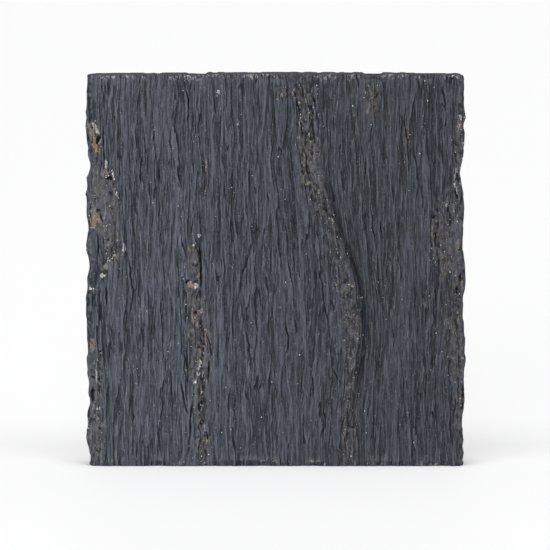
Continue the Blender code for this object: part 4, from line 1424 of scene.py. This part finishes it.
class SlateMaker(MaterialMaker):
    """Riven slate, coloured in layers that each lie over the ones before them; some layers are painted
    highlights and painted shade.
    """

    def __init__(self, look):
        super().__init__("slate")
        self.look = look
        self.brown, self.seam, self.scar, self.warm, self.worn, self.hollow = (
            self.fact(name) for name in ("brown", "seam", "scar", "warm", "worn", "hollow")
        )
        grain = self.fact("grain", "Vector")
        bent = self.bend(self.bend(grain, grain, *SLOW_BEND), grain, *QUICK_BEND)
        self.leaf, self.leaf_rim, self.leaf_shadow = self.leaves(bent, *LEAVES)
        self.blade, self.blade_rim, self.blade_shadow = self.leaves(bent, *BLADES)
        self.strand = self.strands(bent, STRANDS)
        self.fibre = self.grains(bent, *FIBRE)
        self.cloud, self.speck, self.blotch, self.dust, self.breaks, self.vein = (
            self.grains(grain, *form) for form in (CLOUD, SPECK, BLOTCH, DUST, BREAKS, VEIN)
        )
        self.rough = self.brown + self.seam
        self.bare = 1.0 - SCAR_HIDES * self.scar - SEAM_HIDES * self.seam
        streaks = self.ramp(self.tone(), -0.10, 1.10)
        self.colour = self.mix(streaks, look.dark_slate, look.light_slate)

    def lay(self, share, colour):
        """Lays a colour over what is there, by a share."""
        self.colour = self.mix(share, self.colour, colour)

    def tone(self):
        """How light bare slate is, from its leaves and fibres and from its spots, less the painted
        shade towards the right.
        """
        grain = (self.leaf, self.blade, self.strand, self.fibre)
        grain = weigh(GRAIN_TONE, [field - 0.5 for field in grain])
        spots = weigh(SPOT_TONE, [field - 0.5 for field in (self.cloud, self.blotch, self.dust)])
        return MEAN_TONE + self.bare * grain + spots - RIGHT_SHADE_TONE * self.warm

    def edges(self):
        """The painted shadow lines beside the leaves, which break off here and there."""
        long_shadow = self.leaf_shadow * self.ramp(self.breaks, 0.34, 0.50)
        short_shadow = SHORT_SHADOW * self.blade_shadow * self.ramp(self.breaks, 0.60, 0.46)
        return self.bare * (long_shadow + short_shadow)

    def lay_rim_highlights(self):
        """Painted highlights on the rims of the leaves, pale fibres that stand proud, and the warmer
        tone on the right.
        """
        long_highlight = self.leaf_rim * self.ramp(self.breaks, 0.40, 0.56)
        short_highlight = SHORT_HIGHLIGHT * self.blade_rim * self.ramp(self.breaks, 0.56, 0.44)
        rim = self.bare * (long_highlight + short_highlight)
        # Painted highlights on the rims of the leaves.
        self.lay(COVER["painted_highlights"] * rim * self.ramp(self.fibre, 0.35, 0.60), self.look.worn_and_highlight_slate)
        proud = self.ramp(self.hollow, 0.10, -0.9)
        self.lay(COVER["proud fibres"] * proud, self.look.worn_and_highlight_slate)
        self.lay(COVER["warm rock"] * self.warm, self.look.brown_rock)

    def lay_rock(self):
        """Weathered rock: brown, with ochre spots, tan veins, painted shade in small holes and between
        lumps, and chalky streaks.
        """
        look = self.look
        spread = self.brown + 1.2 * (self.cloud - 0.5) + 0.9 * (self.blotch - 0.5)
        brown = self.ramp(spread, 0.25, 0.85) * self.ramp(self.brown, 0.02, 0.3)
        seam = self.seam * self.ramp(self.blotch, 0.40, 0.60)
        self.lay(COVER["brown rock"] * brown + COVER["seam rock"] * seam, look.brown_rock)
        self.lay(COVER["scars"] * self.scar * self.blotch, look.worn_and_highlight_slate)
        ochre = self.ramp(self.blotch, 0.62, 0.72) * self.ramp(self.rough, 0.2, 0.9)
        self.lay(COVER["ochre"] * ochre, look.tan_crust)
        veins = self.ramp(self.vein, 0.478, 0.494) * self.ramp(self.vein, 0.522, 0.506)
        veins = veins * self.ramp(self.breaks, 0.46, 0.58) * self.ramp(self.rough, 0.3, 0.9)
        self.lay(COVER["veins"] * veins, look.tan_crust)
        # Painted shade: small holes in brown rock and on the seam, and the gaps between its lumps.
        holes = self.ramp(self.blotch, 0.40, 0.30) + self.ramp(self.fibre, 0.42, 0.30)
        holes = holes + self.ramp(self.vein, 0.44, 0.34)
        ground = COVER["holes in brown rock"] * self.brown
        ground = ground + COVER["holes in the seam"] * self.seam
        self.lay(holes * ground, look.painted_shade_and_dirt)
        chalk = self.ramp(self.fibre, 0.52, 0.70) * self.ramp(self.rough, 0.2, 0.8)
        chalk = chalk * self.ramp(self.cloud, 0.38, 0.58)
        self.lay(COVER["chalk"] * chalk, look.white_crust)
        worn = self.worn * self.ramp(self.blotch, 0.42, 0.62)
        self.lay(COVER["worn top"] * worn, look.worn_and_highlight_slate)
        self.lay(COVER["dirty top"] * self.worn, look.painted_shade_and_dirt)

    def lay_crusts(self):
        """Tan and white crusts, chips on the arrises, and specks of quartz."""
        look = self.look
        tan = self.ramp(self.fact("tan") + 1.5 * (self.blotch - 0.5), 0.42, 0.64)
        mottled = self.mix(self.ramp(self.blotch, 0.30, 0.54), look.brown_rock, look.tan_crust)
        self.lay(COVER["tan crust"] * tan, mottled)
        white = self.ramp(self.fact("white") + 1.7 * (self.blotch - 0.5), 0.45, 0.68)
        self.lay(COVER["white crust"] * white, look.white_crust)
        pale = self.fact("pale") * self.ramp(self.blotch, 0.42, 0.60)
        pale = pale * self.ramp(self.vein, 0.42, 0.54)
        self.lay(COVER["pale chips"] * pale, look.white_crust)
        self.lay(COVER["quartz"] * self.ramp(self.speck, 0.69, 0.78), look.white_crust)

    def lay_shade_and_dirt(self, edge):
        """Painted shadow beside the leaves; painted shade in hollows and broad hollows, down the
        seam's flank, towards the right and in cracks and holes; and darker brown rock and seam.
        """
        painted_shade_and_dirt = self.look.painted_shade_and_dirt
        # Painted shadow beside the leaves.
        self.lay(edge, painted_shade_and_dirt)
        # Painted shade in hollows and broad hollows; dirt on brown rock and the seam.
        self.lay(COVER["hollows"] * self.ramp(self.hollow, 0.33, 1.7), painted_shade_and_dirt)
        shade = self.ramp(self.fact("broad_hollow"), 0.2, 1.7) * (1.0 - 0.9 * self.brown)
        grime = COVER["brown dirt"] * self.brown
        grime = grime + COVER["seam dirt"] * self.seam * (1.0 - self.brown)
        self.lay(COVER["broad hollows"] * shade + grime, painted_shade_and_dirt)
        # Painted shade down the seam's flank and towards the right.
        flank = self.fact("flank") * self.ramp(self.fibre, 0.75, 0.35)
        self.lay(flank + COVER["warm dirt"] * self.warm, painted_shade_and_dirt)
        # Painted shade in cracks and holes.
        self.lay(COVER["cracks"] * self.fact("open"), painted_shade_and_dirt)

    def relief(self, edge):
        """The finest relief, as a bump."""
        grain = weigh(GRAIN_BUMP, (self.fibre, self.leaf, self.blade, self.strand))
        height = self.bare * grain + weigh(SPOT_BUMP, (self.blotch, self.dust, edge))
        inputs = {"Strength": self.look.fine_bump, "Distance": BUMP_DEPTH, "Height": height}
        return self.node("ShaderNodeBump", {}, inputs, "Normal")


def slate_material(look):
    """Blue-grey slate with brown, tan and white minerals, and with painted highlights and painted
    shade.
    """
    make = SlateMaker(look)
    edge = make.edges()
    make.lay_rim_highlights()
    make.lay_rock()
    make.lay_crusts()
    make.lay_shade_and_dirt(edge)
    return make.finish(
        Base_Color=make.colour,
        Roughness=SLATE_ROUGHNESS[0] + SLATE_ROUGHNESS[1] * make.cloud,
        Specular_IOR_Level=SLATE_SHINE,
        Normal=make.relief(edge),
    )


def crumb_material(look):
    """Quartz and ochre crystals."""
    make = MaterialMaker("crumbs")
    where = make.node("ShaderNodeTexCoord", {}, {}, "Object")
    grain = make.grains(where, *CRUMB_GRAIN)
    colour = make.mix(make.ramp(make.fact("tan"), 0.3, 0.7), look.quartz, look.ochre)
    colour = make.mix(0.3 * make.ramp(grain, 0.45, 0.65), colour, look.brown_rock)
    return make.finish(Base_Color=colour, Roughness=CRUMB_ROUGHNESS[0] + CRUMB_ROUGHNESS[1] * grain)


def new_piece(name, mesh, material):
    """Puts a mesh into the scene as a piece of the object."""
    piece = bpy.data.objects.new(name, mesh)
    bpy.context.scene.collection.objects.link(piece)
    mesh.materials.append(material)
    return piece


def count_property(name, description, default):
    """A whole number that the panel shows."""
    return IntProperty(name=name, description=description, default=default)


def length_property(name, description, default):
    """A length that the panel shows."""
    return FloatProperty(name=name, description=description, default=default, unit="LENGTH")


def colour_property(name, description, *rgb):
    """A colour that the panel shows."""
    return FloatVectorProperty(
        name=name, description=description, default=(*rgb, 1.0), size=4, min=0.0, max=1.0,
        subtype="COLOR",
    )


class StoneLook(PropertyGroup):
    """Fineness and colours of the stone."""

    front_columns: count_property("Front columns", "Faces across the front", 580)
    back_columns: count_property("Back columns", "Faces across the back", 300)
    side_columns: count_property("Side columns", "Faces through the thickness", 30)
    rows: count_property("Rows", "Faces up the height", 230)
    triangles: count_property("Triangles", "Most triangles of the stone", 197000)
    fine_bump: FloatProperty(name="Fine bump", description="Strength of the finest grain", default=0.6)
    dark_slate: colour_property("Dark slate", "The darker streaks", 0.006, 0.007, 0.011)
    light_slate: colour_property("Light slate", "The lighter streaks", 0.090, 0.100, 0.130)
    # Worn slate is the colour of proud fibres, scars and the worn top, and of the painted highlights
    # on the leaves' rims.
    worn_and_highlight_slate: colour_property("Worn and highlight slate", "Proud fibres", 0.150, 0.162, 0.195)
    brown_rock: colour_property("Brown rock", "Weathered rock", 0.079, 0.073, 0.070)
    tan_crust: colour_property("Tan crust", "Ochre and tan crust", 0.230, 0.186, 0.143)
    white_crust: colour_property("White crust", "Quartz crust", 0.420, 0.410, 0.415)
    quartz: colour_property("Quartz", "White crystals", 0.74, 0.73, 0.72)
    ochre: colour_property("Ochre", "Tan crystals", 0.40, 0.31, 0.22)
    # Painted shade in creases, hollows, cracks and holes, beside the leaves and down the seam's flank,
    # and dirt.
    painted_shade_and_dirt: colour_property("Painted shade and dirt", "Painted shade in creases hollows and cracks, and dirt", 0.009, 0.010, 0.014)


class StageLook(PropertyGroup):
    """Camera, floor and light."""

    lens: FloatProperty(
        name="Lens", description="Camera lens", default=400.0, subtype="DISTANCE_CAMERA"
    )
    elevation: FloatProperty(
        name="Elevation", description="How far the camera looks down", default=math.radians(4.8),
        subtype="ANGLE",
    )
    frame_height: length_property("Frame height", "Height of the view at the stone", 0.4203)
    aim_across: length_property("Aim across", "Place across that the camera looks at", -0.00055)
    aim_below: length_property("Aim below", "How far below the stone's middle it looks", 0.00465)
    floor: colour_property("Floor", "The pale floor", 0.885, 0.885, 0.89)


class SLAB_OT_stone(Operator):
    """Builds the riven stone in place of its plain solid"""

    bl_idname = "slab.stone"
    bl_label = "Stone"

    def execute(self, context):
        look = context.scene.stone_look
        points, grain, facts = stone_surface(look)
        points, grain, facts = close_top(fit_to_solid(points), grain, facts)
        rows, ring, _ = points.shape
        mesh = bpy.data.meshes.new("riven_stone")
        mesh.from_pydata(points.reshape(-1, 3).tolist(), [], closed_faces(rows, ring))
        add_facts(mesh, grain, facts)
        mesh = thin_out(mesh, look.triangles)
        mesh.name = "riven_stone"
        mesh.shade_smooth()
        mesh.set_sharp_from_angle(angle=math.radians(SHARP_ANGLE))
        stone = new_piece("riven_stone", mesh, slate_material(look))
        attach(stone, "root")
        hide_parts("slate_slab")
        return {"FINISHED"}


class SLAB_OT_crumbs(Operator):
    """Scatters the small quartz and ochre crystals over the stone"""

    bl_idname = "slab.crumbs"
    bl_label = "Mineral crumbs"

    def execute(self, context):
        look = context.scene.stone_look
        points, _, facts = stone_surface(look)
        mesh = crumb_mesh(fit_to_solid(points), facts)
        crumbs = new_piece("mineral_crumbs", mesh, crumb_material(look))
        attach(crumbs, "root")
        return {"FINISHED"}


class SLAB_OT_stage(Operator):
    """Sets up the pale floor, the soft lights and the camera"""

    bl_idname = "slab.stage"
    bl_label = "Stage"

    def execute(self, context):
        look = context.scene.stage_look
        self.add_floor(context, look)
        self.add_lights(context)
        self.add_camera(context, look)
        context.scene.view_settings.view_transform = "Standard"
        return {"FINISHED"}

    def add_floor(self, context, look):
        """A wide pale floor under the stone."""
        bpy.ops.mesh.primitive_plane_add(size=FLOOR_SIZE, location=(0.0, 0.0, 0.0))
        floor = context.object
        floor.name = "floor"
        paint = MaterialMaker("floor")
        paint.finish(
            Base_Color=look.floor, Roughness=FLOOR_ROUGHNESS, Specular_IOR_Level=FLOOR_SHINE
        )
        floor.data.materials.append(paint.material)

    def add_lights(self, context):
        """Soft suns from the upper left, the upper right, the front and above, in a white surround."""
        world = bpy.data.worlds.new("surround")
        world.use_nodes = True
        background = world.node_tree.nodes["Background"]
        background.inputs["Color"].default_value = (1.0, 1.0, 1.0, 1.0)
        background.inputs["Strength"].default_value = SURROUND
        context.scene.world = world
        for name, turn, rise, power, spread in LIGHTS:
            light = bpy.data.lights.new(name, "SUN")
            light.energy = power
            light.angle = math.radians(spread)
            lamp = bpy.data.objects.new(name, light)
            context.scene.collection.objects.link(lamp)
            lamp.location = self.around(turn, rise, LIGHT_DISTANCE)
            aim = Vector((0.0, 0.0, HEIGHT / 2.0)) - lamp.location
            lamp.rotation_euler = aim.to_track_quat("-Z", "Y").to_euler()

    def around(self, turn, rise, distance):
        """A place around the stone's middle, from degrees turned to the right and degrees up."""
        turn, rise = math.radians(turn), math.radians(rise)
        flat = distance * math.cos(rise)
        up = HEIGHT / 2.0 + distance * math.sin(rise)
        return Vector((flat * math.sin(turn), -flat * math.cos(turn), up))

    def add_camera(self, context, look):
        """A long lens in front of the stone, looking slightly down on it."""
        data = bpy.data.cameras.new("camera")
        data.lens = look.lens
        distance = look.frame_height * look.lens / data.sensor_width
        camera = bpy.data.objects.new("camera", data)
        context.scene.collection.objects.link(camera)
        shift = Vector((look.aim_across, 0.0, -look.aim_below))
        camera.location = self.around(0.0, math.degrees(look.elevation), distance) + shift
        aim = Vector((0.0, 0.0, HEIGHT / 2.0)) + shift - camera.location
        camera.rotation_euler = aim.to_track_quat("-Z", "Y").to_euler()
        data.clip_end = VIEW_DEPTH
        context.scene.camera = camera


class SLAB_PT_panel(Panel):
    """Lists the steps and the values of the slab"""

    bl_idname = "SLAB_PT_panel"
    bl_label = "Slate slab"
    bl_space_type = "VIEW_3D"
    bl_region_type = "UI"
    bl_category = "Slate slab"

    def draw(self, context):
        for group, steps in (
            (context.scene.stone_look, ("slab.stone", "slab.crumbs")),
            (context.scene.stage_look, ("slab.stage",)),
        ):
            for name in group.bl_rna.properties.keys():
                if name not in ("rna_type", "name"):
                    self.layout.prop(group, name)
            for step in steps:
                self.layout.operator(step)


CLASSES = (StoneLook, StageLook, SLAB_OT_stone, SLAB_OT_crumbs, SLAB_OT_stage, SLAB_PT_panel)


def register():
    for item in CLASSES:
        bpy.utils.register_class(item)
    bpy.types.Scene.stone_look = PointerProperty(type=StoneLook)
    bpy.types.Scene.stage_look = PointerProperty(type=StageLook)


def unregister():
    del bpy.types.Scene.stage_look
    del bpy.types.Scene.stone_look
    for item in reversed(CLASSES):
        bpy.utils.unregister_class(item)


def main():
    """Builds the stone, its crumbs and the stage."""
    register()
    bpy.ops.slab.stone()
    bpy.ops.slab.crumbs()
    bpy.ops.slab.stage()


if __name__ == "__main__":
    main()
